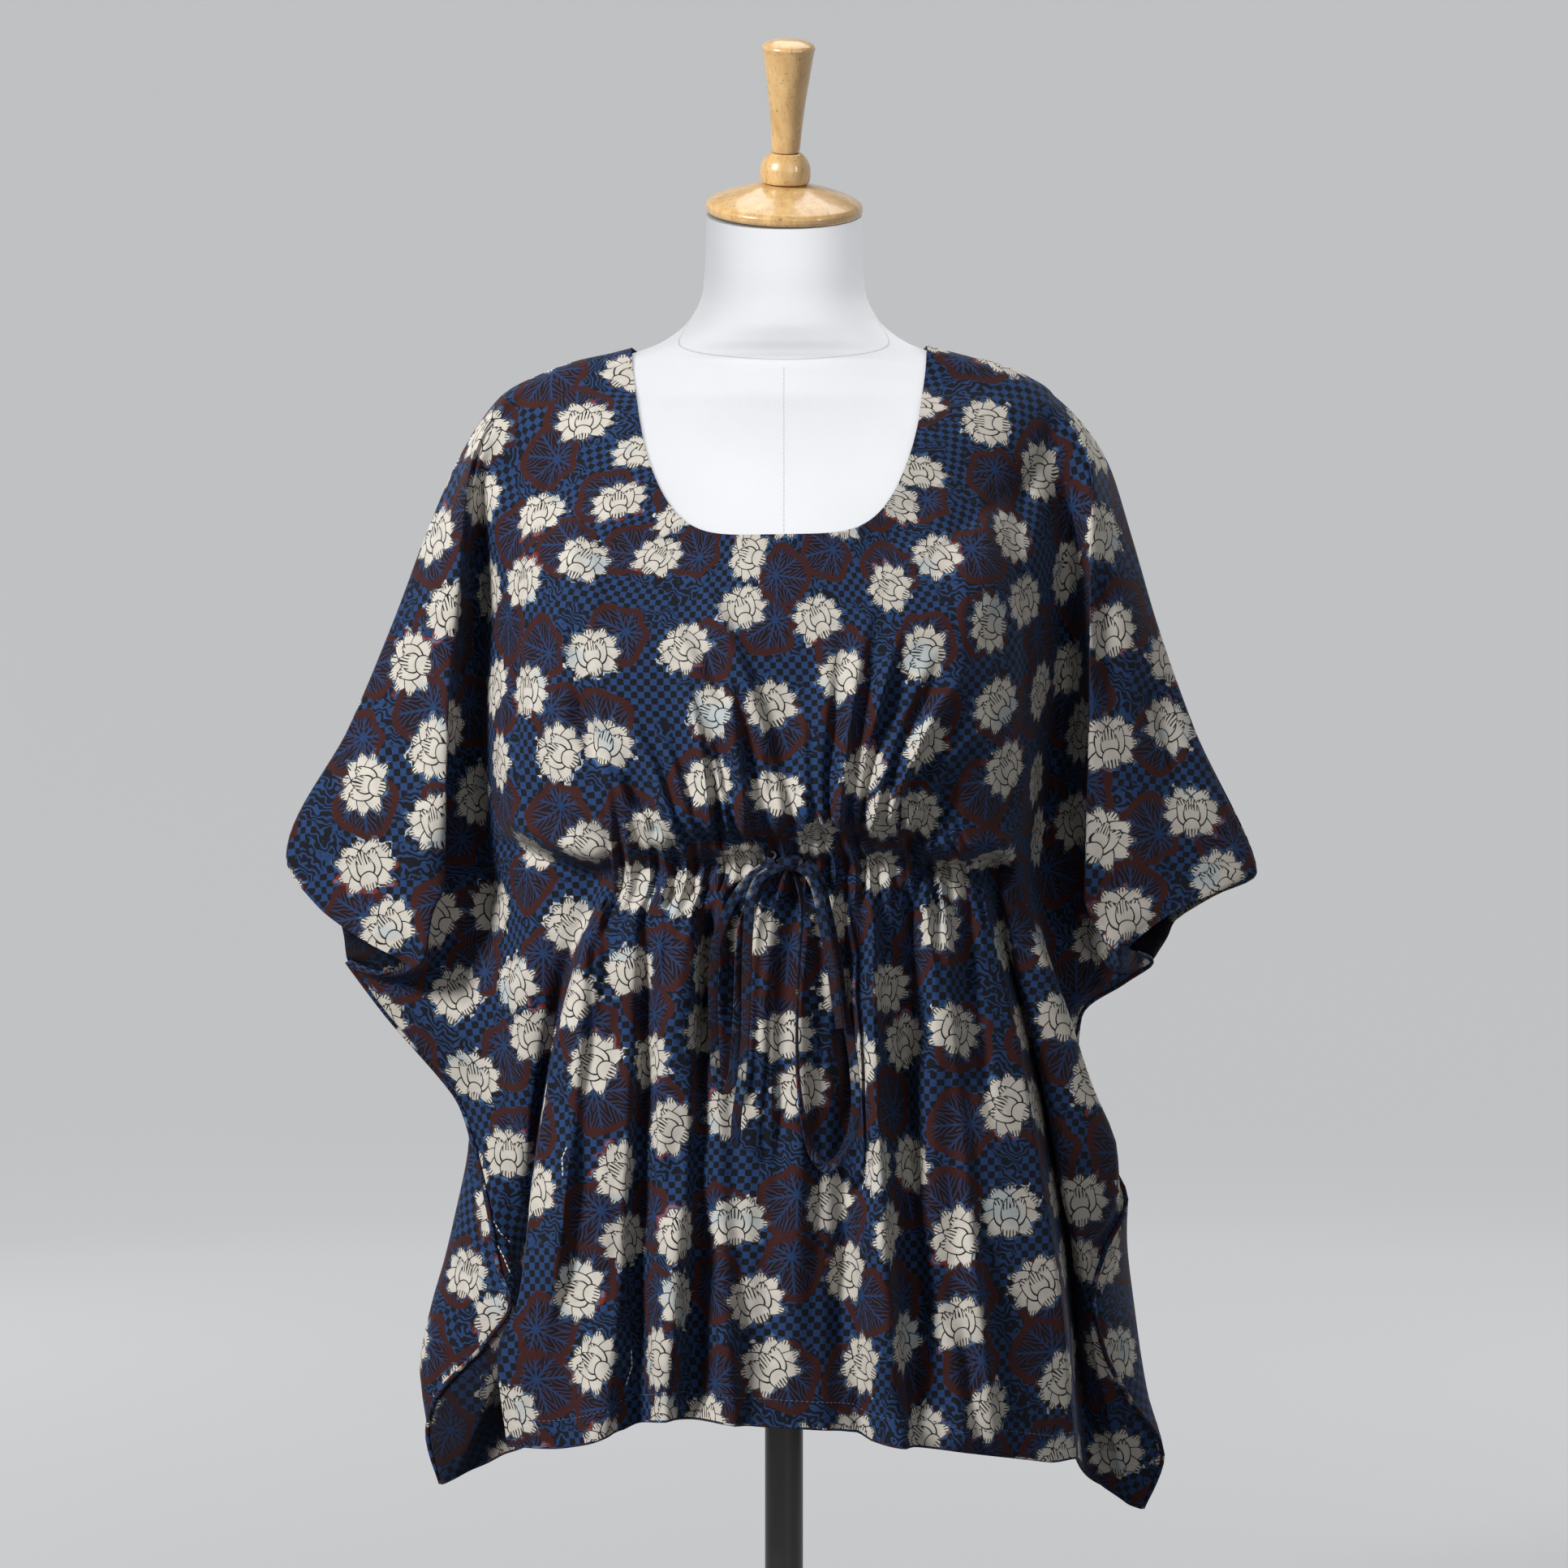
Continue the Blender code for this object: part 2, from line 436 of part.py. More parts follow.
def crease(points, side, row):
    """Press one crease: a trough whose cross-section is a bell, along a bowed line."""
    x0, z0, x1, z1, bow, width, depth, fade_in, fade_out = row
    run = np.array((x1 - x0, z1 - z0), float)
    length = math.hypot(*run)
    run /= length
    dx, dz = points[..., 0] - x0, points[..., 2] - z0
    along = (dx * run[0] + dz * run[1]) / length
    t = np.clip(along, 0, 1)
    aside = dx * run[1] - dz * run[0] - bow * 4 * t * (1 - t)
    past = np.maximum(np.abs(along - 0.5) - 0.5, 0) * length
    strength = np.ones_like(t)
    if fade_in:
        strength *= np.clip(t / fade_in, 0, 1)
    if fade_out:
        strength *= np.clip((1 - t) / fade_out, 0, 1)
    strength = strength ** 2 * (3 - 2 * strength)
    points[..., 1] -= side * depth * strength * np.exp(-(aside / width) ** 2 - (past / width) ** 2)


def gather_wave(share, count):
    """Waist gathers: a wave of count folds, uneven in spacing and height."""
    uneven = share + 0.006 * np.sin(2 * np.pi * 3.3 * share) + 0.004 * np.sin(2 * np.pi * 7.1 * share)
    height = 1 + 0.3 * np.sin(2 * np.pi * 4.7 * share + 1.0)
    return -height * np.cos(2 * np.pi * count * uneven)


def hem_wave(share):
    return table_curve(HEM_WAVE, share)[:, 0]


def edge_lines(table, levels, side, hand):
    """The seam line and the rounding next to it, for the front (-1) or back (+1) wall.

    hand is -1 on the viewer's left.  Both directions are square to the seam's own run.
    The turn column swings the seam round, from edge-on at 0 to facing the viewer at 90.
    """
    across, depth, height, turn = table_curve(table, levels).T
    levels = np.asarray(levels)
    run = unit((table_curve(table, levels + 0.04) - table_curve(table, levels - 0.04))[:, :3])
    ahead = unit(np.array((0, 1, 0)) - run[:, 1:2] * run)
    inside = -hand * np.cross(run, ahead)
    angle = np.radians(turn)[:, None]
    seam = np.stack((across, depth, height), axis=1)

    def moved(inwards, along):
        turned_in = inwards * np.cos(angle) - side * along * np.sin(angle)
        forward = inwards * np.sin(angle) + side * along * np.cos(angle)
        return seam + inside * turned_in + ahead * forward

    half_gap = SEAM_GAP / 2
    drop = EDGE_ROLL * np.clip(levels - 2, 0.1, 1)[:, None] * (0.2 + 0.8 * np.cos(angle))
    return moved(0, half_gap), moved(drop, EDGE_FLAT), moved(WALL, half_gap)


def panel(side, levels, edges, inner_lines, middle, stations, shares, creases, gathers):
    """Outer points of a wall, row by row from the viewer's left to the viewer's right.

    Also gives the inner points of its two edges, so that seams keep an even gap.
    """
    levels = np.asarray(levels, float)
    sides = []
    rims = []
    folded = np.interp(levels, (2, 3.2, 6.7, 7.3), (0, 1, 1, 0))[:, None]
    for hand, edge, lines in zip((-1, 1), edges, inner_lines):
        seam, rolled, rim = edge_lines(edge, levels, side, hand)
        tables = [table_curve(table, levels) for table in lines]
        if side < 0:
            fold, tuck = tables[:2]
            nose = folded * np.array((-0.6 * hand, FOLD_WIDTH, 0))
            behind = fold + (tuck - fold) * (1 - folded) / 2 + nose
            tables.insert(1, behind)
        tables = np.stack(tables, axis=1)
        keep_off_form(tables, side, form_lift(tables, side))
        sides.append(np.concatenate((seam[:, None], rolled[:, None], tables), axis=1))
        rims.append(rim)
    left, right = sides

    share = np.asarray(shares, float)[None, :, None]
    start, end = left[:, -1:, :], right[:, -1:, :]
    body = start + (end - start) * share
    depth, height, flatness = (column[:, None] for column in table_curve(middle, levels).T)
    across = np.abs(2 * share[..., 0] - 1)
    even = body.copy()
    body[..., 1] += (depth - (start + end)[..., 1] / 2) * (1 - across ** 2.6)
    body[..., 2] += (height - (start + end)[..., 2] / 2) * (1 - across ** flatness)
    near_form = np.clip(2 - levels, 0, 1)[:, None]
    body[..., 1] = np.where(near_form > 0, body[..., 1] * (1 - near_form) + even[..., 1] * near_form,
                            body[..., 1])
    if side < 0:
        near_hem = np.clip(levels - 11, 0, 1)[:, None]
        body[..., 2] += near_hem * hem_wave(share[0, :, 0])[None, :]

    left_part = join_across(np.concatenate((left, body[:, 1:2]), axis=1), stations)
    right_part = join_across(np.concatenate((right, body[:, -2:-1]), axis=1), stations)
    points = np.concatenate((left_part, body[:, 1:-1], right_part[:, ::-1]), axis=1)

    for row in creases:
        crease(points[:, 2:-2], side, row)
    inner = slice(len(stations), points.shape[1] - len(stations))
    near_waist = np.exp(-((points[:, inner, 2] - WAIST_HEIGHT) / GATHER_REACH) ** 2)
    wave = gather_wave(share[0, 1:-1, 0], gathers)[None, :]
    points[:, inner, 1] += side * GATHER_DEPTH * near_waist * wave
    keep_off_form(points[:, 2:-2], side, form_lift(points[:, 2:-2], side))
    return points, rims


def unit(vectors):
    return vectors / (np.linalg.norm(vectors, axis=-1, keepdims=True) + 1e-9)


def steps_beside(points, axis):
    """Unit steps of a grid's lines before and after each point; an end has one twice."""
    steps = unit(np.diff(points, axis=axis))
    first, last = (np.take(steps, [k], axis=axis) for k in (0, -1))
    return np.concatenate((first, steps), axis=axis), np.concatenate((steps, last), axis=axis)


def grid_normals(points, side):
    """Normals of a grid of points, facing outwards: to the viewer on the front.

    A point's normal is the mean of those of its four corners, stretched as a mitre is, so
    that the wall keeps its thickness; less where the bend closes inwards, for want of room.
    """
    across, down = steps_beside(points, 1), steps_beside(points, 0)
    corners = [side * unit(np.cross(a, d)) for a in across for d in down]
    normals = unit(sum(corners))
    nearest = np.min([np.sum(normals * corner, axis=-1) for corner in corners], axis=0)
    bend = across[1] - across[0] + down[1] - down[0]
    limit = np.where(np.sum(bend * normals, axis=-1) > 0, 2.2, 1.25)
    limit[:, [1, -2]] = 1.1
    return normals * np.minimum(1 / np.clip(nearest, 0.1, 1), limit)[..., None]


def wall_mesh(name, points, rims, side):
    """A closed wall: outer points, inner points one wall thickness in, and four rims."""
    inner = points - WALL * grid_normals(points, side)
    inner[:, 0], inner[:, -1] = rims
    rows, columns = points.shape[:2]
    vertices = np.concatenate((points.reshape(-1, 3), inner.reshape(-1, 3))) * MM
    index = np.arange(rows * columns).reshape(rows, columns)
    behind = index + rows * columns

    def split(a, b, c, d):
        first, second = ((a, b, c), (a, c, d))
        return np.concatenate([np.stack([k.ravel() for k in half], axis=1) for half in (first, second)])

    faces = [
        split(index[:-1, :-1], index[1:, :-1], index[1:, 1:], index[:-1, 1:]),
        split(behind[:-1, :-1], behind[:-1, 1:], behind[1:, 1:], behind[1:, :-1]),
        split(index[0, :-1], index[0, 1:], behind[0, 1:], behind[0, :-1]),
        split(index[-1, :-1], behind[-1, :-1], behind[-1, 1:], index[-1, 1:]),
        split(index[:-1, 0], behind[:-1, 0], behind[1:, 0], index[1:, 0]),
        split(index[:-1, -1], index[1:, -1], behind[1:, -1], behind[:-1, -1]),
    ]
    faces = np.concatenate(faces)
    if side > 0:
        faces = faces[:, ::-1]
    mesh = bpy.data.meshes.new(name)
    mesh.from_pydata(vertices.tolist(), [], faces.tolist())
    return mesh


def material(name, colour, roughness, metallic=0.0):
    made = bpy.data.materials.new(name)
    made.use_nodes = True
    shader = made.node_tree.nodes["Principled BSDF"]
    shader.inputs["Base Color"].default_value = (*colour, 1.0)
    shader.inputs["Roughness"].default_value = roughness
    shader.inputs["Metallic"].default_value = metallic
    return made


def add_object(name, data, look):
    made = bpy.data.objects.new(name, data)
    made.data.materials.append(look)
    bpy.context.scene.collection.objects.link(made)
    return made


def front_shares():
    return np.linspace(0, 1, 2 * FRONT_GATHERS + 1)


def back_shares():
    return np.linspace(0, 1, 2 * BACK_GATHERS + 1)


def with_opening(edge, opening):
    """The edge of the back wall: the front's, but for its own sleeve opening."""
    above = tuple(row for row in edge if row[0] < opening[0][0])
    below = tuple(row for row in edge if row[0] > opening[-1][0])
    return above + opening + below


def front_points():
    return panel(
        -1, FRONT_LEVELS, (LEFT_EDGE, RIGHT_EDGE),
        ((LEFT_SLEEVE_FOLD, LEFT_SLEEVE_TUCK, LEFT_RECESS, LEFT_SIDE, LEFT_WING,
          LEFT_VALLEY, LEFT_PLEAT),
         (RIGHT_SLEEVE_FOLD, RIGHT_SLEEVE_TUCK, RIGHT_RECESS, RIGHT_SIDE, RIGHT_WING,
          RIGHT_VALLEY, RIGHT_PLEAT)),
        FRONT_MIDDLE, FRONT_SIDE_STATIONS + (9,), front_shares(), FRONT_CREASES, FRONT_GATHERS)


def back_points():
    return panel(
        1, BACK_LEVELS, (with_opening(LEFT_EDGE, LEFT_BACK_OPENING),
                         with_opening(RIGHT_EDGE, RIGHT_BACK_OPENING)),
        ((LEFT_BACK_FOLD, LEFT_BACK_RECESS, LEFT_BACK_SIDE, LEFT_BACK_PLEAT),
         (RIGHT_BACK_FOLD, RIGHT_BACK_RECESS, RIGHT_BACK_SIDE, RIGHT_BACK_PLEAT)),
        BACK_MIDDLE, BACK_SIDE_STATIONS + (5,), back_shares(), BACK_CREASES, BACK_GATHERS)


def make_kaftan():
    cotton = material("printed_cotton", (0.03, 0.06, 0.16), 0.9)
    for name, made, side in (("front_panel", front_points(), -1), ("back_panel", back_points(), 1)):
        points, rims = made
        add_object(name, wall_mesh(name, points, rims, side), cotton)


def smooth_route(route, spacing):
    """A route's own points, joined by a smooth curve and spaced evenly along it."""
    line = np.asarray(route, float)[None]
    fine = join_across(line, np.linspace(0, len(route) - 1, 40 * len(route)))[0]
    run = np.concatenate(([0], np.cumsum(np.linalg.norm(np.diff(fine, axis=0), axis=1))))
    even = np.linspace(0, run[-1], max(3, round(run[-1] / spacing) + 1))
    return np.stack([np.interp(even, run, fine[:, k]) for k in range(3)], axis=1)


def make_string(name, route, look):
    points = smooth_route(route, 2.6 * 2 * STRING_RADIUS)
    curve = bpy.data.curves.new(name, "CURVE")
    curve.dimensions = "3D"
    curve.bevel_depth = STRING_RADIUS * MM
    curve.bevel_resolution = 2
    curve.use_fill_caps = True
    spline = curve.splines.new("POLY")
    spline.points.add(len(points) - 1)
    for point, place in zip(spline.points, points):
        point.co = (*(place * MM), 1.0)
    add_object(name, curve, look)


def make_knot(look):
    """The bow's knot, a rounded bead that lies across the two eyelets."""
    mesh = bpy.data.meshes.new("drawstring_knot")
    shape = bmesh.new()
    bmesh.ops.create_icosphere(shape, subdivisions=2, radius=1.0)
    size = Matrix.Diagonal((9.5, 4.2, 6.0, 1.0))
    place = Matrix.Translation(Vector(STRING_MIDDLE))
    bmesh.ops.transform(shape, matrix=Matrix.Scale(MM, 4) @ place @ size, verts=shape.verts)
    shape.to_mesh(mesh)
    shape.free()
    add_object("drawstring_knot", mesh, look)


def make_drawstring():
    cotton = material("drawstring_cotton", (0.04, 0.07, 0.17), 0.9)
    make_knot(cotton)
    make_string("drawstring_left_loop", LEFT_LOOP_ROUTE, cotton)
    make_string("drawstring_left_tail", LEFT_TAIL_ROUTE, cotton)
    make_string("drawstring_right_loop", RIGHT_LOOP_ROUTE, cotton)
    make_string("drawstring_right_tail", RIGHT_TAIL_ROUTE, cotton)


def form_ring(row):
    """One section of the dress form, tilted about its middle."""
    height, half, front, back, middle, tilt = row
    angle = np.linspace(0, 2 * np.pi, RING_SIDES, endpoint=False)
    power = 2 / (FORM_ROUNDNESS if height < 1040 else 2.0)
    cos, sin = np.cos(angle), np.sin(angle)
    x = half * np.sign(cos) * np.abs(cos) ** power
    reach = np.where(sin < 0, front, back)
    d = reach * np.sign(sin) * np.abs(sin) ** power
    lean = math.radians(tilt)
    return np.stack((x, middle + d * math.cos(lean), height + d * math.sin(lean)), axis=1)


def make_torso():
    """The limbless torso and neck: rings bridged from the hip to the neck's tilted top."""
    shape = bmesh.new()
    rings = []
    for row in FORM_SECTIONS:
        ring = [shape.verts.new(point * MM) for point in form_ring(row)]
        rings.append(ring)
    for low, high in zip(rings, rings[1:]):
        for k in range(RING_SIDES):
            after = (k + 1) % RING_SIDES
            shape.faces.new((low[k], low[after], high[after], high[k]))
    shape.faces.new(rings[0][::-1])
    shape.faces.new(rings[-1])
    mesh = bpy.data.meshes.new("form_torso")
    shape.to_mesh(mesh)
    shape.free()
    mesh.shade_smooth()
    mesh.set_sharp_from_angle(angle=math.radians(40))
    add_object("form_torso", mesh, material("form_jersey", (0.85, 0.86, 0.88), 0.85))


def turned(name, profile, place, look):
    """A turned piece: (radius, height) rows spun about its axis, from bottom to top."""
    shape = bmesh.new()
    line = [shape.verts.new((radius * MM, 0, height * MM)) for radius, height in profile]
    edges = [shape.edges.new(pair) for pair in zip(line, line[1:])]
    bmesh.ops.spin(shape, geom=line + edges, cent=(0, 0, 0), axis=(0, 0, 1),
                   angle=2 * math.pi, steps=TURNED_SIDES, use_duplicate=False)
    bmesh.ops.remove_doubles(shape, verts=shape.verts, dist=1e-6)
    bmesh.ops.recalc_face_normals(shape, faces=shape.faces)
    mesh = bpy.data.meshes.new(name)
    shape.to_mesh(mesh)
    shape.free()
    mesh.transform(place)
    mesh.shade_smooth()
    mesh.set_sharp_from_angle(angle=math.radians(40))
    return add_object(name, mesh, look)


def neck_axis():
    """The tilted axis of the neck's top, which the cap, bead and finial share."""
    lean = Matrix.Rotation(math.radians(NECK_TILT), 4, "X")
    aside = Matrix.Rotation(math.radians(FINIAL_LEAN), 4, "Y")
    return Matrix.Translation(Vector((0, NECK_TOP_Y, NECK_TOP_Z)) * MM) @ lean @ aside


def make_neck_fittings():
    """Turned wooden cap, bead and finial, each 0.3 mm above the piece below it."""
    wood = material("varnished_wood", (0.62, 0.37, 0.13), 0.3)
    cap = ((0, 1.7), (55.5, 1.7), (57, 3.5), (57, 7), (55, 9.5), (48, 13), (38, 16.5),
           (28, 19.5), (19, 22), (12, 23.5), (0, 23.5))
    bead = ((0, 23.8), (11, 23.8), (15.5, 26), (18, 30), (18.5, 34), (17.6, 38.5),
            (14.5, 43), (10.5, 45.5), (0, 45.5))
    finial = ((0, 45.8), (9.5, 45.8), (10.2, 48), (11.2, 62), (13.2, 84), (16, 106),
              (18.6, 124), (19.2, 127), (18.2, 130), (13, 132.5), (7, 133.6), (0, 134))
    axis = neck_axis()
    turned("neck_cap", cap, axis, wood)
    turned("finial_bead", bead, axis, wood)
    turned("finial", finial, axis, wood)


def make_stand():
    """The pole and a plain round base, both out of the picture's lower edge."""
    black = material("black_enamel", (0.012, 0.012, 0.014), 0.4)
    pole = ((0, BASE_THICKNESS + SEAM_GAP), (POLE_RADIUS, BASE_THICKNESS + SEAM_GAP),
            (POLE_RADIUS, FORM_BOTTOM - SEAM_GAP), (0, FORM_BOTTOM - SEAM_GAP))
    base = ((0, 0), (BASE_RADIUS - 3, 0), (BASE_RADIUS, 3), (BASE_RADIUS, 8),
            (BASE_RADIUS - 4, 12), (60, BASE_THICKNESS), (0, BASE_THICKNESS))
    upright = Matrix.Identity(4)
    turned("pole", pole, upright, black)
    turned("base", base, upright, black)


def main():
    for old in list(bpy.data.objects):
        bpy.data.objects.remove(old, do_unlink=True)
    make_torso()
    make_neck_fittings()
    make_stand()
    make_kaftan()
    make_drawstring()


main()
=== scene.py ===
"""Looks of the short kaftan on its dress form, around the CAD frame.

The cloth is worked out from the same fold lines as the solids, more finely and with
smaller creases, and is printed by a material that draws the block print in metres of
cloth.  Lengths in the tables are millimetres: across, depth and height.
"""

import math

import bpy
import numpy as np
from mathutils import Matrix, Vector


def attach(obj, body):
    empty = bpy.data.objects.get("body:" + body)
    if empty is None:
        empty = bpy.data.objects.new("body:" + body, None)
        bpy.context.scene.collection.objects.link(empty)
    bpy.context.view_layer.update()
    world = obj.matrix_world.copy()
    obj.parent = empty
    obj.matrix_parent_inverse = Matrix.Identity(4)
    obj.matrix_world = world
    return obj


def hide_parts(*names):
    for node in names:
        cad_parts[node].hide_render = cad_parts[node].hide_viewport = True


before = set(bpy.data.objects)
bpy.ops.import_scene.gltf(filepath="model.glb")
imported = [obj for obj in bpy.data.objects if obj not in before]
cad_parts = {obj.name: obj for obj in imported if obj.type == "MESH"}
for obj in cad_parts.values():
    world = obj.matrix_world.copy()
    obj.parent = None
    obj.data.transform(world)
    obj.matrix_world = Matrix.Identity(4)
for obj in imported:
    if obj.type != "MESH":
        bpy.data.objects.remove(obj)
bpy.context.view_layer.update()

MM = 0.001
WALL = 1.6                 # the solids' cloth wall, which the cloth's outside follows
SHELL = 0.7                # this cloth's own thickness
SEAM_GAP = 0.1             # between the two panels along a seam
CLOTH_LIFT = 1.1           # room between the form and the cloth on its shoulders,
SAG_ROOM = 1.6             # and how much more there is in front
BACK_SAG_ROOM = 5.0        # and behind, where the cloth hangs free
FORM_MARGIN = 1.0          # the least room that the creases leave
EDGE_ROLL = 1.3            # how far the cloth beside a seam lies inside it,
EDGE_FLAT = 2.6            # and how far it stands from the seam's own plane
FOLD_WIDTH = 5.0           # how far the cloth goes straight back behind a sleeve's fold
WAIST_HEIGHT = 664.0
GATHER_DEPTH = 3.2         # swing of the waist gathers,
GATHER_REACH = 48.0        # how far they reach above and below the waist,
FRONT_GATHERS = 22         # and how many folds the front and the back have
BACK_GATHERS = 17
PUCKER_DEPTH = 2.6         # the same for the small puckers beside the drawstring
PUCKER_REACH = 21.0
FRONT_PUCKERS = 37
BACK_PUCKERS = 31

NECK_TOP_Y = 2.0           # the frame of the cap, the bead and the finial
NECK_TOP_Z = 1135.0
NECK_TILT = 18.0           # degrees forwards
FINIAL_LEAN = 1.6          # and sideways

ROW_STEPS = 6              # rows of cloth between two of the solids' rows
SIDE_STEPS = 5             # columns between two stations, beside the middle
MIDDLE_STEPS = 3           # and in the middle
UNWRAP_ROWS = 3            # every third row and second column carries the unwrapping
UNWRAP_COLUMNS = 2
SEWN_EDGE = 6              # columns beside a seam that the creases leave alone
FORM_STEPS = 7             # sections of the form between two of its table's,
FORM_SIDES = 144           # and points round each
TURNED_SIDES = 96          # points round a turned piece and round the floor

# The dress form: height, half width, depth in front, depth behind, middle depth, tilt.
FORM_SECTIONS = (
    (440, 158, 84, 92, 2, 0),
    (500, 162, 90, 98, 2, 0),
    (560, 152, 86, 92, 2, 0),
    (610, 132, 80, 80, 2, 0),
    (650, 122, 80, 74, 3, 0),
    (700, 128, 92, 80, 4, 0),
    (750, 142, 108, 88, 5, 0),
    (795, 153, 118, 94, 5, 0),
    (840, 160, 115, 102, 5, 0),
    (885, 168, 102, 108, 6, 0),
    (930, 182, 86, 108, 7, 0),
    (965, 194, 68, 96, 8, 0),
    (990, 197, 50, 74, 9, 0),
    (1005, 191, 37, 52, 10, 0),
    (1017, 171, 32, 42, 10, 0),
    (1026, 146, 32, 40, 10, 0),
    (1034, 113, 38, 44, 10, 2),
    (1044, 87, 46, 52, 9, 4),
    (1060, 68, 52, 56, 8, 8),
    (1080, 59, 53, 55, 7, 12),
    (1105, 57, 54, 54, 4, 16),
    (1135, 56.5, 54, 54, 2, 18),
)
FORM_ROUNDNESS = 2.2       # exponent of the torso's sections

# Front, viewer's left.
LEFT_EDGE = (
    (0, -110, 10, 1038.5, 0), (1, -157, 10, 1027, 0), (1.5, -181, 10, 1018, 0),
    (2, -203, 10, 1006, 0), (2.5, -222, 7, 983, 0), (3, -239, 3, 952, 0),
    (3.5, -260, 1, 902, 0), (4, -282, 0, 843, 0), (5, -315, 0, 764, 0),
    (6, -361, 0, 669, 0), (6.4, -337, -16, 634, 60), (6.7, -301, -31, 609, 80),
    (7, -271, -39, 593, 50), (7.5, -291, -20, 586, 110), (8, -316, 0, 593, 0),
    (8.4, -289, 0, 557, 0), (9, -234, 0, 490, 10), (9.5, -225, -6, 464, 35),
    (10, -211, -30, 409, 80), (10.5, -205, -38, 376, 90), (11, -196, -45, 349, 95),
    (11.4, -215, -32, 320, 90), (11.7, -254, -6, 273, 55), (11.85, -258, 0, 251, 30),
    (12, -249, 0, 215, 20),
)
LEFT_SLEEVE_FOLD = (
    (0, -110, 0, 1034), (1, -156, 0, 1021), (2, -206, -8, 993), (3, -227, -25, 942),
    (4, -234, -42, 853), (5, -241, -45, 772), (6, -243, -44, 691), (6.4, -244, -42, 650),
    (6.7, -252, -43, 630), (7, -258, -46, 596), (7.5, -275, -26, 585), (8, -301, -6, 581),
    (9, -223, -12, 496), (10, -206, -29, 412), (11, -191, -37, 346), (12, -238, 2, 219),
)
LEFT_SLEEVE_TUCK = (
    (0, -109, 0, 1031), (1, -156, 0, 1015), (2, -205, -12, 982), (3, -224, -22, 935),
    (4, -233, -30, 851), (5, -242, -27, 769), (6, -252, -20, 690), (6.4, -256, -18, 652),
    (6.7, -258, -20, 634), (7, -255, -27, 600), (7.5, -262, -21, 588), (8, -277, -12, 573),
    (9, -212, -22, 500), (10, -201, -28, 415), (11, -190, -28, 345), (12, -228, 6, 224),
)
LEFT_RECESS = (
    (0, -109, 0, 1026), (1, -155, 0, 1005), (2, -200, -18, 968), (3, -218, -12, 928),
    (4, -220, 0, 849), (5, -223, 4, 770), (6, -223, 4, 696), (7, -221, 2, 652),
    (8, -223, -12, 593), (9, -201, -32, 507), (10, -196, -27, 419), (11, -189.5, -19, 343),
    (12, -216, 8, 229),
)
LEFT_SIDE = (
    (0, -108, 0, 1014), (1, -149, 0, 984), (2, -186, -30, 947), (3, -204, -36, 903),
    (4, -193, -58, 830), (5, -199, -64, 760), (6, -190, -72, 698), (7, -180, -62, 652),
    (8, -186, -60, 592), (9, -188, -48, 514), (10, -190, -27, 423), (11, -189, -10, 343),
    (12, -204, 4, 236),
)
LEFT_WING = (
    (0, -105, 0, 993), (1, -142, 0, 961), (2, -170, -50, 923), (3, -182, -66, 884),
    (4, -175, -84, 817), (5, -175, -90, 757), (6, -164, -92, 697), (7, -152, -76, 651),
    (8, -165, -66, 596), (9, -178, -52, 518), (10, -186, -26, 428), (11, -188, -3, 343),
    (12, -195, -4, 240),
)
LEFT_VALLEY = (
    (0, -102, 0, 976), (1, -134, 0, 943), (2, -153, -72, 904), (3, -158, -90, 866),
    (4, -154, -104, 808), (5, -153, -108, 754), (6, -145, -108, 696), (7, -133, -80, 652),
    (8, -150, -62, 605), (9, -168, -44, 527), (10, -181, -25, 432), (11, -184, -3, 347),
    (12, -188, -16, 244),
)
LEFT_PLEAT = (
    (0, -98, 0, 958), (1, -124, 0, 930), (2, -135, -90, 890), (3, -134, -110, 852),
    (4, -132, -118, 800), (5, -131, -118, 751), (6, -126, -116, 696), (7, -124, -90, 653),
    (8, -140, -94, 612), (9, -161, -100, 537), (10, -176, -104, 443), (11, -186, -104, 362),
    (11.5, -202, -102, 319), (12, -195, -100, 256),
)

# Front, viewer's right.
RIGHT_EDGE = (
    (0, 103, 10, 1040.4, 0), (1, 144, 10, 1030, 0), (1.5, 168, 10, 1022, 0),
    (2, 192, 10, 1007.4, 0), (2.5, 215, 7, 986, 0), (3, 235, 3, 955, 0),
    (3.5, 252, 1, 902, 0), (4, 270, 0, 840, 0), (5, 298, 0, 761, 0),
    (6, 343, 0, 658, 0), (6.4, 317, -16, 646, 60), (6.7, 280, -28, 630, 80),
    (7, 248, -35, 605, 40), (7.5, 257, -14, 600, 100), (8, 266, 0, 593, 0),
    (8.4, 246, 0, 579, 0), (9, 214, 0, 554, 0), (9.3, 211, -4, 520, 15),
    (9.6, 224, -12, 468, 30), (10, 246, -26, 423, 55), (10.4, 230, -38, 387, 85),
    (11, 222, -40, 353, 95), (11.3, 230, -32, 315, 88), (11.5, 247, -18, 282, 75),
    (11.8, 274, 0, 236, 40), (12, 260, 0, 197, 20),
)
RIGHT_SLEEVE_FOLD = (
    (0, 103, 0, 1035), (1, 144, 0, 1022), (2, 195, -8, 993), (3, 222, -25, 942),
    (4, 220, -42, 853), (5, 219, -45, 772), (6, 217, -44, 685), (6.4, 216, -42, 641),
    (6.7, 224, -42, 620), (7, 237, -43, 601), (7.5, 246, -25, 590), (8, 257, -7, 589),
    (9, 209, -8, 553), (9.5, 214, -15, 498), (10, 241, -29.5, 424), (10.4, 224.5, -39.5, 388),
    (11, 217.5, -38, 352), (12, 250, 2, 200),
)
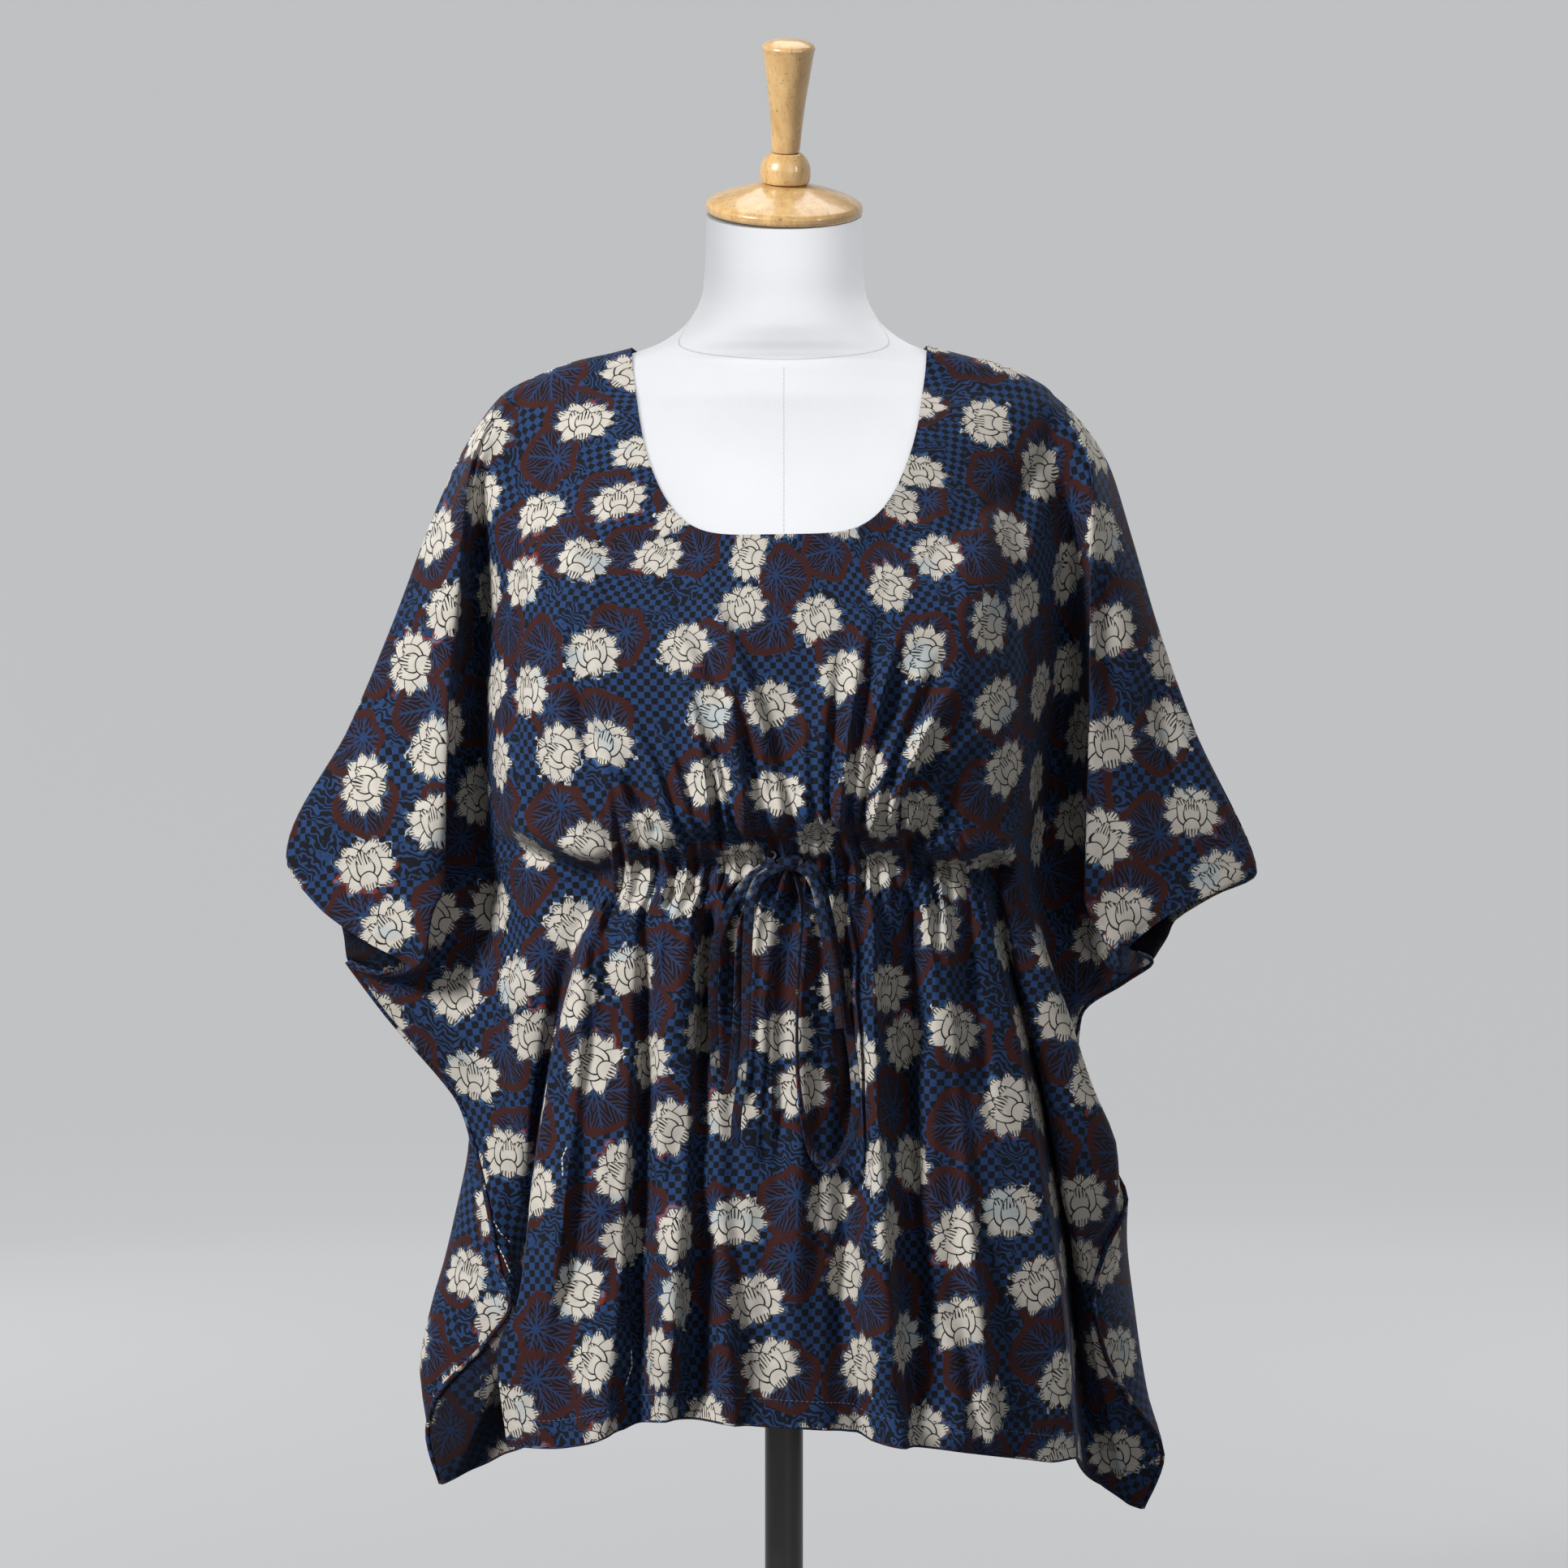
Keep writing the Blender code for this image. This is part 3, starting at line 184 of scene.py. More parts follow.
RIGHT_SLEEVE_TUCK = (
    (0, 102, 0, 1031), (1, 143, 0, 1016), (2, 193, -12, 981), (3, 220, -22, 935),
    (4, 219, -30, 851), (5, 219, -27, 769), (6, 222, -22, 685), (6.4, 224, -19, 644),
    (6.7, 228, -20, 624), (7, 234, -26, 602), (7.5, 239, -19, 586), (8, 247, -11, 585),
    (9, 205, -12, 552), (9.5, 211, -20, 499), (10, 240.5, -32.5, 425), (10.4, 222, -43, 389),
    (11, 216, -36, 351), (12, 241, 6, 206),
)
RIGHT_RECESS = (
    (0, 102, 0, 1027), (1, 142, 0, 1007), (2, 188, -18, 968), (3, 203, -12, 928),
    (4, 206, 0, 849), (5, 202, 4, 761), (6, 196, 4, 693), (7, 192, 2, 652),
    (8, 194, -4, 614), (9, 200, -14, 551), (9.5, 211, -27, 500), (10, 240.5, -36, 427),
    (10.4, 220, -46.5, 390), (11, 214.5, -33, 350), (12, 232, 8, 212),
)
RIGHT_SIDE = (
    (0, 101, 0, 1014), (1, 135, 0, 987), (2, 172, -30, 947), (3, 187, -38, 903),
    (4, 178, -60, 835), (5, 175, -66, 766), (6, 170, -74, 702), (7, 165, -70, 661),
    (8, 176, -58, 624), (8.5, 189, -58, 592), (9, 204, -56, 553), (9.5, 221, -52, 505),
    (9.8, 239, -44, 458), (10, 240, -41, 430), (10.4, 216, -51, 391), (11, 213, -27, 349),
    (12, 227, 6, 217),
)
RIGHT_WING = (
    (0, 98, 0, 993), (1, 128, 0, 962), (2, 158, -50, 924), (3, 171, -66, 884),
    (4, 161, -86, 823), (5, 159, -92, 763), (6, 156, -94, 701), (7, 156, -74, 658),
    (8, 162, -66, 610), (9, 179, -70, 539), (9.5, 191, -70, 483), (10, 200, -64, 429),
    (10.4, 210, -50, 386), (11, 211.5, -15, 347), (12, 222, 3, 220),
)
RIGHT_VALLEY = (
    (0, 95, 0, 976), (1, 120, 0, 946), (2, 142, -72, 905), (3, 149, -90, 868),
    (4, 142, -104, 813), (5, 140, -108, 760), (6, 141, -108, 699), (7, 150, -64, 656),
    (8, 159, -50, 608), (9, 178, -42, 537), (10, 200, -28, 428), (10.4, 206, -16, 382),
    (11, 209, -1, 345), (12, 217, -12, 228),
)
RIGHT_PLEAT = (
    (0, 91, 0, 961), (1, 111, 0, 933), (2, 124, -90, 892), (3, 126, -110, 854),
    (4, 123, -118, 804), (5, 121, -118, 756), (6, 124, -116, 698), (7, 139, -84, 655),
    (8, 147, -84, 612), (9, 163, -90, 547), (10, 182, -94, 442), (11, 196, -92, 355),
    (12, 207, -74, 244),
)

# The middle of the front and of the back: level, depth, height, flatness of the row.
FRONT_MIDDLE = (
    (0, -99, 897, 4.8), (1, -110, 874, 4.2), (2, -119, 849, 3.4), (3, -127, 819, 2.8),
    (4, -131, 782, 2.4), (5, -130, 742, 2.0), (6, -128, 703, 2.0), (7, -106, 667, 2.0),
    (8, -112, 631, 2.0), (9, -122, 554, 2.0), (10, -127, 453, 2.0), (11, -130, 363, 2.0),
    (12, -132, 274, 2.0),
)
BACK_MIDDLE = (
    (0, 92, 1008, 3.0), (1, 110, 962, 2.6), (2, 122, 915, 2.2), (3, 129, 872, 2.0),
    (4, 131, 815, 2.0), (5, 129, 752, 2.0), (6, 124, 697, 2.0), (7, 100, 658, 2.0),
    (8, 107, 606, 2.0), (9, 121, 520, 2.0), (10, 131, 428, 2.0), (11, 136, 340, 2.0),
    (12, 137, 258, 2.0),
)

# Back: the sleeve opening's own edge, then fold lines like the front's but calmer.
LEFT_BACK_OPENING = (
    (6, -361, 0, 669, 0), (6.4, -338, 14, 642, -60), (6.7, -324, 20, 624, -80),
    (7, -321, 20, 612, -80), (7.5, -319, 12, 601, -60), (8, -316, 0, 593, 0),
)
LEFT_BACK_FOLD = (
    (0, -107, 0, 1036), (1, -157, 0, 1022), (2, -207, 26, 992), (3, -230, 38, 942),
    (4, -240, 48, 853), (5, -248, 52, 772), (6, -252, 52, 690), (6.7, -262, 50, 640),
    (7, -272, 46, 622), (8, -298, 12, 588), (9, -236, 16, 492), (9.5, -229, 6, 463),
    (10, -239, 5, 409), (10.5, -247, 8, 376), (11, -256, 10, 345), (11.4, -265, 12, 300),
    (11.7, -263, 8, 281), (11.85, -258, 10, 255), (12, -240, 14, 222),
)
LEFT_BACK_RECESS = (
    (0, -103, 0, 1033), (1, -155, 0, 1012), (2, -200, 40, 968), (3, -216, 30, 928),
    (4, -218, 18, 849), (5, -222, 17, 770), (6, -222, 17, 700), (7, -225, 18, 650),
    (8, -232, 26, 595), (9, -215, 42, 500), (10, -215, 50, 410), (11, -215, 52, 335),
    (12, -222, 30, 232),
)
LEFT_BACK_SIDE = (
    (0, -96, 0, 1028), (1, -148, 0, 998), (2, -182, 70, 945), (3, -196, 72, 900),
    (4, -190, 84, 830), (5, -192, 90, 760), (6, -184, 92, 700), (7, -168, 84, 652),
    (8, -180, 80, 597), (9, -190, 82, 510), (10, -196, 88, 420), (11, -202, 92, 338),
    (12, -205, 84, 246),
)
LEFT_BACK_PLEAT = (
    (0, -88, 0, 1022), (1, -132, 0, 985), (2, -150, 96, 930), (3, -150, 108, 885),
    (4, -145, 114, 822), (5, -143, 116, 755), (6, -138, 112, 698), (7, -125, 92, 655),
    (8, -140, 98, 606), (9, -158, 108, 520), (10, -172, 116, 428), (11, -182, 120, 340),
    (12, -190, 118, 262),
)
RIGHT_BACK_OPENING = (
    (6, 343, 0, 658, 0), (6.4, 312, 12, 640, -60), (6.7, 284, 20, 621, -80),
    (7, 280, 22, 611, -80), (7.5, 273, 12, 601, -60), (8, 266, 0, 593, 0),
)
RIGHT_BACK_FOLD = (
    (0, 100, 0, 1037), (1, 144, 0, 1023), (2, 200, 26, 990), (3, 226, 38, 942),
    (4, 230, 48, 853), (5, 234, 52, 772), (6, 236, 52, 690), (6.7, 244, 50, 640),
    (7, 248, 46, 622), (8, 252, 14, 588), (9, 212, 16, 553), (9.5, 215, 20, 500),
    (10, 246, -8, 424), (10.4, 249, 4, 385), (11, 254, 8, 347), (11.3, 259, 8, 310),
    (11.5, 264, 8, 280), (11.8, 274, 10, 238), (12, 252, 12, 203),
)
RIGHT_BACK_RECESS = (
    (0, 96, 0, 1034), (1, 142, 0, 1013), (2, 195, 42, 966), (3, 205, 30, 928),
    (4, 208, 18, 849), (5, 204, 17, 765), (6, 198, 17, 698), (7, 200, 18, 650),
    (8, 210, 24, 600), (9, 205, 38, 545), (10, 214, 48, 425), (11, 216, 50, 340),
    (12, 224, 30, 215),
)
RIGHT_BACK_SIDE = (
    (0, 90, 0, 1029), (1, 136, 0, 999), (2, 173, 70, 945), (3, 186, 74, 900),
    (4, 180, 86, 832), (5, 178, 92, 762), (6, 170, 94, 702), (7, 160, 84, 655),
    (8, 170, 80, 606), (9, 182, 82, 535), (10, 196, 86, 430), (11, 204, 90, 345),
    (12, 212, 82, 232),
)
RIGHT_BACK_PLEAT = (
    (0, 84, 0, 1023), (1, 124, 0, 986), (2, 142, 96, 932), (3, 144, 108, 886),
    (4, 138, 114, 824), (5, 134, 116, 757), (6, 130, 112, 699), (7, 120, 92, 655),
    (8, 134, 98, 608), (9, 152, 108, 525), (10, 170, 116, 432), (11, 184, 120, 342),
    (12, 196, 118, 256),
)

# Creases: across and height where it starts, the same where it ends, sideways bow,
# half width, depth (negative: a ridge), how soon it fades in and out as shares of it.
FRONT_CREASES = (
    # skirt, from the viewer's left
    (-118, 640, -122, 262, -3, 9, 9, 0.3, 0.0),
    (-103, 640, -98, 262, 3, 10, 14, 0.25, 0.0),
    (-66, 645, -64, 262, -5, 11, 16, 0.2, 0.1),
    (-38, 640, -28, 262, 2, 8, 7, 0.3, 0.2),
    (-8, 640, -12, 262, 4, 12, 8, 0.4, 0.2),
    (18, 640, 22, 262, 0, 9, 7, 0.3, 0.3),
    (55, 652, 56, 262, 12, 11, 18, 0.15, 0.0),
    (82, 640, 92, 262, 2, 9, 13, 0.2, 0.1),
    (118, 640, 130, 262, 4, 10, 8, 0.3, 0.1),
    # bodice, pulled up and outwards from the drawstring
    (82, 672, 128, 738, 5, 7, 11, 0.15, 0.6),
    (50, 672, 62, 780, 2, 7, 9, 0.15, 0.7),
    (22, 675, 34, 770, 0, 6, 6, 0.15, 0.7),
    (-44, 675, -50, 770, 0, 6, 8, 0.15, 0.7),
    (-88, 668, -112, 752, -3, 7, 9, 0.15, 0.6),
    (-12, 675, -8, 760, 0, 6, 5, 0.15, 0.7),
    (-118, 659, -206, 692, -6, 6, 13, 0.2, 0.3),
    (92, 661, 166, 662, -5, 6, 12, 0.2, 0.2),
    # shoulders and bust
    (-196, 985, -180, 800, 4, 9, 6, 0.3, 0.6),
    (172, 975, 152, 800, -4, 9, 6, 0.3, 0.6),
)
BACK_CREASES = (
    (-112, 640, -118, 258, 0, 10, 12, 0.25, 0.0),
    (-72, 640, -70, 258, 4, 11, 15, 0.2, 0.0),
    (-30, 640, -34, 258, -3, 10, 10, 0.25, 0.0),
    (8, 640, 12, 258, 3, 11, 13, 0.2, 0.0),
    (48, 640, 46, 258, -3, 10, 11, 0.25, 0.0),
    (90, 640, 104, 258, 3, 11, 14, 0.2, 0.0),
    (-90, 672, -124, 760, 0, 8, 9, 0.15, 0.6),
    (-40, 672, -50, 780, 0, 7, 7, 0.15, 0.7),
    (30, 672, 36, 780, 0, 7, 7, 0.15, 0.7),
    (86, 672, 118, 760, 0, 8, 9, 0.15, 0.6),
)
# The front hem's rise and fall from an even curve: share across, millimetres.
HEM_WAVE = ((0, 0), (0.1, -6), (0.28, 7), (0.45, 0), (0.61, -3), (0.64, -8), (0.78, -8),
            (0.95, -6), (1, 0))

# Rows of the walls, as levels, and columns, as fold-line interval plus share of it.
FRONT_LEVELS = (0, 0.5, 1, 1.5, 2, 2.5, 3, 3.5, 4, 4.5, 5, 5.5, 6, 6.4, 6.7, 7, 7.5, 8, 8.5,
                9, 9.5, 10, 10.5, 11, 11.4, 11.8, 12)
BACK_LEVELS = (0, 0.6, 1.1, 1.6, 2, 2.5, 3, 3.5, 4, 4.7, 5.4, 6, 6.5, 7, 7.5, 8, 8.5, 9, 9.5,
               10, 10.5, 11, 11.4, 11.8, 12)
FRONT_SIDE_STATIONS = (0, 1, 1.5, 2, 3, 4, 4.5, 5, 6, 6.5, 7, 8)
BACK_SIDE_STATIONS = (0, 1, 1.5, 2, 2.5, 3, 3.5, 4)

# The bow, as across, depth and height through the middle of each strand.
STRING_MIDDLE = (4, -114.9, 667)
LEFT_LOOP_ROUTE = (
    (-6.7, -115.6, 668), (-12, -117.6, 665.5), (-24, -121, 656), (-38, -124, 636),
    (-47, -126, 612),
    (-49.5, -127, 580), (-48.5, -128.5, 540), (-46.5, -129, 516), (-41.5, -130, 508),
    (-36.5, -130, 516), (-33.5, -130, 545), (-32, -129.5, 580), (-31.5, -129, 606),
    (-28.5, -127, 628), (-20, -124, 644), (-10, -122, 654),
)
LEFT_TAIL_ROUTE = (
    (-2, -119.7, 664), (-9, -124.2, 661.5), (-17, -130, 656), (-23, -134, 643),
    (-25, -136, 620),
    (-26, -137.5, 590), (-27, -138, 550), (-29, -138, 520), (-33, -138, 490), (-34, -138, 470),
)
RIGHT_LOOP_ROUTE = (
    (15.1, -115.6, 667.5), (19, -117.5, 664), (25, -121, 655), (30, -125, 634),
    (37, -128, 600), (41, -129, 570),
    (46, -130, 545), (49, -130, 522), (50, -130.5, 496), (46, -131, 474), (37, -131, 459),
    (29, -131, 454), (21, -131, 463), (14, -131, 486), (10, -131, 515), (9, -131, 550),
    (10, -130, 590), (12, -127, 622), (12, -123, 642), (9, -120, 657),
)
RIGHT_TAIL_ROUTE = (
    (10, -119.4, 664), (16, -124.8, 660), (22, -131, 650), (27, -135, 625),
    (32, -137, 600), (36, -138, 572),
    (39, -138, 552),
)


def table_curve(rows, at):
    """A table's columns at the given levels: cubic pieces that never overshoot a row."""
    data = np.asarray(rows, float)
    knots, values = data[:, 0], data[:, 1:]
    gaps = np.diff(knots)[:, None]
    slopes = np.diff(values, axis=0) / gaps
    before, after = slopes[:-1], slopes[1:]
    same_way = before * after > 0
    total = np.where(same_way, before + after, 1.0)
    middle = np.where(same_way, 2 * before * after / total, 0)
    tangents = np.vstack((slopes[:1], middle, slopes[-1:]))
    at = np.clip(np.asarray(at, float), knots[0], knots[-1])
    low = np.clip(np.searchsorted(knots, at, side="right") - 1, 0, len(gaps) - 1)
    gap = gaps[low]
    t = ((at - knots[low]) / gap[:, 0])[:, None]
    rise = t * t * (3 - 2 * t)
    return (values[low] * (1 - rise) + values[low + 1] * rise
            + gap * (tangents[low] * t * (1 - t) ** 2 - tangents[low + 1] * t * t * (1 - t)))


def join_across(lines, stations):
    """Points at stations along a centripetal Catmull-Rom curve through fold lines.

    lines has one row of points for each level, and a station is an interval plus a share.
    """
    steps = np.sqrt(np.linalg.norm(np.diff(lines, axis=1), axis=2, keepdims=True)) + 1e-6
    chords = np.diff(lines, axis=1) / steps
    across_two = (lines[:, 2:] - lines[:, :-2]) / (steps[:, :-1] + steps[:, 1:])
    middle = chords[:, :-1] - across_two + chords[:, 1:]
    tangents = np.concatenate((chords[:, :1], middle, chords[:, -1:]), axis=1)
    stations = np.asarray(stations, float)
    low = np.clip(stations.astype(int), 0, lines.shape[1] - 2)
    t = (stations - low)[None, :, None]
    rise = t * t * (3 - 2 * t)
    return (lines[:, low] * (1 - rise) + lines[:, low + 1] * rise
            + steps[:, low] * (tangents[:, low] * t * (1 - t) ** 2
                               - tangents[:, low + 1] * t * t * (1 - t)))


def form_sections(height):
    """Half width, depth in front, depth behind and middle depth of the form at heights."""
    rows = np.asarray(FORM_SECTIONS, float)[:, :5]
    return np.moveaxis(table_curve(rows, height.ravel()).reshape(height.shape + (4,)), -1, 0)


def form_share(x, y, z):
    """A point's share of the form's section at its height, less one: 0 is on the form."""
    half, front, back, middle = form_sections(z)
    reach = np.where(y < middle, front, back)
    power = FORM_ROUNDNESS
    return (np.abs(x / half) ** power + np.abs((y - middle) / reach) ** power) ** (1 / power) - 1


def form_distance(points):
    """Distance outside the form, true close to it, and the shortest way out."""
    x, y, z = np.moveaxis(points, -1, 0)
    step = 0.5
    rise = np.stack((form_share(x + step, y, z) - form_share(x - step, y, z),
                     form_share(x, y + step, z) - form_share(x, y - step, z),
                     form_share(x, y, z + step) - form_share(x, y, z - step)), axis=-1)
    slope = rise / (2 * step)
    steepness = np.linalg.norm(slope, axis=-1, keepdims=True) + 1e-9
    return form_share(x, y, z) / steepness[..., 0], slope / steepness


def keep_off_form(points, side, lift):
    """Push cloth that would enter the dress form out of it.

    First along the depth alone, which brings a point inside the form to its surface,
    then the shortest way out, with a soft change-over.
    """
    half, front, back, middle = form_sections(points[..., 2] - lift)
    share = np.clip(np.abs(points[..., 0]) / (half + lift), 0, 1)
    rounded = (1 - share ** FORM_ROUNDNESS) ** (1 / FORM_ROUNDNESS)
    limit = middle + side * rounded * (front if side < 0 else back)
    room = (points[..., 1] - limit) * side
    points[..., 1] += side * np.where((room < 0) & (share < 1), -room, 0)
    soft, longest_push = 2.5, 8
    for turn in range(3):
        room, way = form_distance(points)
        room = room - WALL - lift
        near = (soft - room) ** 2 / (4 * soft)
        push = np.where(room < -soft, -room, np.where(room < soft, near, 0))
        if turn:
            push = np.maximum(-room, 0)
        points += way * np.clip(push, 0, longest_push)[..., None]


def form_lift(points, side):
    """The room left under the cloth: least on top of the shoulders, which carry it."""
    beside = np.clip(np.abs(points[..., 1] - 10) / 40, 0, 1)
    return CLOTH_LIFT + (SAG_ROOM if side < 0 else BACK_SAG_ROOM) * beside


def beside_crease(points, row):
    """Where points lie about a crease's bowed line, and the crease's strength there.

    Gives the run along the line and the ways aside from it and past its ends, all in
    millimetres, and a strength that eases in and out over the two shares of the row.
    """
    x0, z0, x1, z1, bow = row[:5]
    fade_in, fade_out = row[7:9]
    run = np.array((x1 - x0, z1 - z0), float)
    length = math.hypot(*run)
    run /= length
    dx, dz = points[..., 0] - x0, points[..., 2] - z0
    along = dx * run[0] + dz * run[1]
    t = np.clip(along / length, 0, 1)
    aside = dx * run[1] - dz * run[0] - bow * 4 * t * (1 - t)
    past = np.maximum(np.abs(along / length - 0.5) - 0.5, 0) * length
    strength = np.ones_like(t)
    if fade_in:
        strength *= np.clip(t / fade_in, 0, 1)
    if fade_out:
        strength *= np.clip((1 - t) / fade_out, 0, 1)
    return along, aside, past, strength ** 2 * (3 - 2 * strength)


def crease(points, side, row):
    """Press one crease: a trough whose cross-section is a bell, along a bowed line."""
    width, depth = row[5:7]
    _, aside, past, strength = beside_crease(points, row)
    bell = np.exp(-(aside / width) ** 2 - (past / width) ** 2)
    points[..., 1] -= side * depth * strength * bell


def gather_wave(share, count):
    """Waist gathers: a cosine of count folds, uneven in spacing and height."""
    turn = 2 * np.pi * share
    uneven = share + 0.006 * np.sin(3.3 * turn) + 0.004 * np.sin(7.1 * turn)
    height = 1 + 0.3 * np.sin(4.7 * turn + 1.0)
    return -height * np.cos(2 * np.pi * count * uneven)


def hem_wave(share):
    """The hem's rise at shares of the way across: a smooth curve through its table."""
    return table_curve(HEM_WAVE, share)[:, 0]


def edge_lines(table, levels, side, hand):
    """The seam line and the rounding next to it, for the front (-1) or back (+1) cloth.

    hand is -1 on the viewer's left.  Both directions are square to the seam's own run.
    The turn column swings the seam round, from edge-on at 0 to facing the viewer at 90.
    """
    across, depth, height, turn = table_curve(table, levels).T
    levels = np.asarray(levels)
    run = unit((table_curve(table, levels + 0.04) - table_curve(table, levels - 0.04))[:, :3])
    ahead = unit(np.array((0, 1, 0)) - run[:, 1:2] * run)
    inside = -hand * np.cross(run, ahead)
    angle = np.radians(turn)[:, None]
    seam = np.stack((across, depth, height), axis=1)

    def moved(inwards, along):
        turned_in = inwards * np.cos(angle) - side * along * np.sin(angle)
        forward = inwards * np.sin(angle) + side * along * np.cos(angle)
        return seam + inside * turned_in + ahead * forward

    drop = EDGE_ROLL * np.clip(levels - 2, 0.1, 1)[:, None] * (0.2 + 0.8 * np.cos(angle))
    return moved(0, SEAM_GAP / 2), moved(drop, EDGE_FLAT)


def panel(side, levels, edges, inner_lines, middle, stations, shares, creases, gathers):
    """Outer points of a panel, row by row from the viewer's left to the viewer's right.

    Beside the body they follow the fold lines, and between them a rounded middle that
    carries the gathers.  The creases are pressed last, and all is kept off the form.
    """
    levels = np.asarray(levels, float)
    sides = []
    folded = np.interp(levels, (2, 3.2, 6.7, 7.3), (0, 1, 1, 0))[:, None]
    for hand, edge, lines in zip((-1, 1), edges, inner_lines):
        seam, rolled = edge_lines(edge, levels, side, hand)
        tables = [table_curve(table, levels) for table in lines]
        if side < 0:
            fold, tuck = tables[:2]
            nose = folded * np.array((-0.6 * hand, FOLD_WIDTH, 0))
            behind = fold + (tuck - fold) * (1 - folded) / 2 + nose
            tables.insert(1, behind)
        tables = np.stack(tables, axis=1)
        keep_off_form(tables, side, form_lift(tables, side))
        sides.append(np.concatenate((seam[:, None], rolled[:, None], tables), axis=1))
    left, right = sides

    share = np.asarray(shares, float)[None, :, None]
    start, end = left[:, -1:, :], right[:, -1:, :]
    body = start + (end - start) * share
    depth, height, flatness = (column[:, None] for column in table_curve(middle, levels).T)
    across = np.abs(2 * share[..., 0] - 1)
    even = body.copy()
    body[..., 1] += (depth - (start + end)[..., 1] / 2) * (1 - across ** 2.6)
    body[..., 2] += (height - (start + end)[..., 2] / 2) * (1 - across ** flatness)
    near_form = np.clip(2 - levels, 0, 1)[:, None]
    evened = body[..., 1] * (1 - near_form) + even[..., 1] * near_form
    body[..., 1] = np.where(near_form > 0, evened, body[..., 1])
    if side < 0:
        near_hem = np.clip(levels - 11, 0, 1)[:, None]
        body[..., 2] += near_hem * hem_wave(share[0, :, 0])[None, :]

    left_part = join_across(np.concatenate((left, body[:, 1:2]), axis=1), stations)
    right_part = join_across(np.concatenate((right, body[:, -2:-1]), axis=1), stations)
    points = np.concatenate((left_part, body[:, 1:-1], right_part[:, ::-1]), axis=1)

    kept = int(np.searchsorted(stations, 1, side="right"))
    for row in creases:
        crease(points[:, kept:-kept], side, row)
    inner = slice(len(stations), points.shape[1] - len(stations))
    near_waist = np.exp(-((points[:, inner, 2] - WAIST_HEIGHT) / GATHER_REACH) ** 2)
    wave = gather_wave(share[0, 1:-1, 0], gathers)[None, :]
    points[:, inner, 1] += side * GATHER_DEPTH * near_waist * wave
    keep_off_form(points[:, kept:-kept], side, form_lift(points[:, kept:-kept], side))
    return points


def unit(vectors):
    """Vectors of the same direction and of length one."""
    return vectors / (np.linalg.norm(vectors, axis=-1, keepdims=True) + 1e-9)


def with_opening(edge, opening):
    """The edge of the back wall: the front's, but for its own sleeve opening."""
    above = tuple(row for row in edge if row[0] < opening[0][0])
    below = tuple(row for row in edge if row[0] > opening[-1][0])
    return above + opening + below


def way_along(line):
    """The way along a line from its start to each of its points."""
    return np.concatenate(([0], np.cumsum(np.linalg.norm(np.diff(line, axis=0), axis=1))))


def points_at(places, run, line):
    """The points at places along a line whose own points are at run."""
    return np.stack([np.interp(places, run, line[:, k]) for k in range(3)], axis=-1)


def smooth_route(route, spacing):
    """A route's own points, joined by a smooth curve and spaced evenly along it."""
    line = np.asarray(route, float)[None]
    fine = join_across(line, np.linspace(0, len(route) - 1, 40 * len(route)))[0]
    run = way_along(fine)
    even = np.linspace(0, run[-1], max(3, round(run[-1] / spacing) + 1))
    return points_at(even, run, fine)


def neighbours(values, reach):
    """Copies of an array moved along its first axis by up to reach places each way."""
    room = ((reach, reach),) + ((0, 0),) * (values.ndim - 1)
    padded = np.pad(values, room, mode="edge")
    return [padded[k:k + len(values)] for k in range(2 * reach + 1)]


def round_angles(count):
    """So many even angles once round, without the last, which would be the first."""
    return np.linspace(0, 2 * np.pi, count, endpoint=False)


def rounded_box(values, power):
    """A sine or cosine raised to a power with its sign kept, so that a circle squares up."""
    return np.sign(values) * np.abs(values) ** power


def grid_of(*coordinates):
    """Coordinates brought to one grid, as the last axis of one array."""
    return np.stack(np.broadcast_arrays(*coordinates), axis=-1)


# ---------------------------------------------------------------- numbers in materials

class Number:
    """A number worked out inside a material, so that its formula reads as arithmetic."""

    tree = None

    def __init__(self, socket):
        self.socket = socket

    @classmethod
    def work(cls, operation, *values, clamp=False):
        made = cls.tree.nodes.new("ShaderNodeMath")
        made.operation = operation
        made.use_clamp = clamp
        for slot, value in zip(made.inputs, values):
            feed(slot, value)
        return cls(made.outputs[0])

    def __add__(self, other):
        return self.work("ADD", self, other)

    def __sub__(self, other):
        return self.work("SUBTRACT", self, other)

    def __rsub__(self, other):
        return self.work("SUBTRACT", other, self)

    def __mul__(self, other):
        return self.work("MULTIPLY", self, other)

    def __truediv__(self, other):
        return self.work("DIVIDE", self, other)

    def __abs__(self):
        return self.work("ABSOLUTE", self)

    __radd__ = __add__
    __rmul__ = __mul__


def feed(slot, value):
    """Put a number, a colour or a worked-out value into a node's slot."""
    if isinstance(value, Number):
        Number.tree.links.new(value.socket, slot)
    elif isinstance(value, bpy.types.NodeSocket):
        Number.tree.links.new(value, slot)
    else:
        slot.default_value = value


def between(x, low, high):
    """0 up to low, 1 from high on, and a straight line between; low may be the larger."""
    return Number.work("MULTIPLY_ADD", x, 1 / (high - low), -low / (high - low), clamp=True)


def larger(a, b):
    """The larger of two values."""
    return Number.work("MAXIMUM", a, b)


def smaller(a, b):
    """The smaller of two values."""
    return Number.work("MINIMUM", a, b)


def cosine(x):
    """The cosine of an angle in radians."""
    return Number.work("COSINE", x)


def sine(x):
    """The sine of an angle in radians."""
    return Number.work("SINE", x)


def root(x):
    """The square root."""
    return Number.work("SQRT", x)


def vector(x, y, z=0.0):
    """A place from its three coordinates."""
    made = Number.tree.nodes.new("ShaderNodeCombineXYZ")
    for slot, value in zip(made.inputs, (x, y, z)):
        feed(slot, value)
    return made.outputs[0]


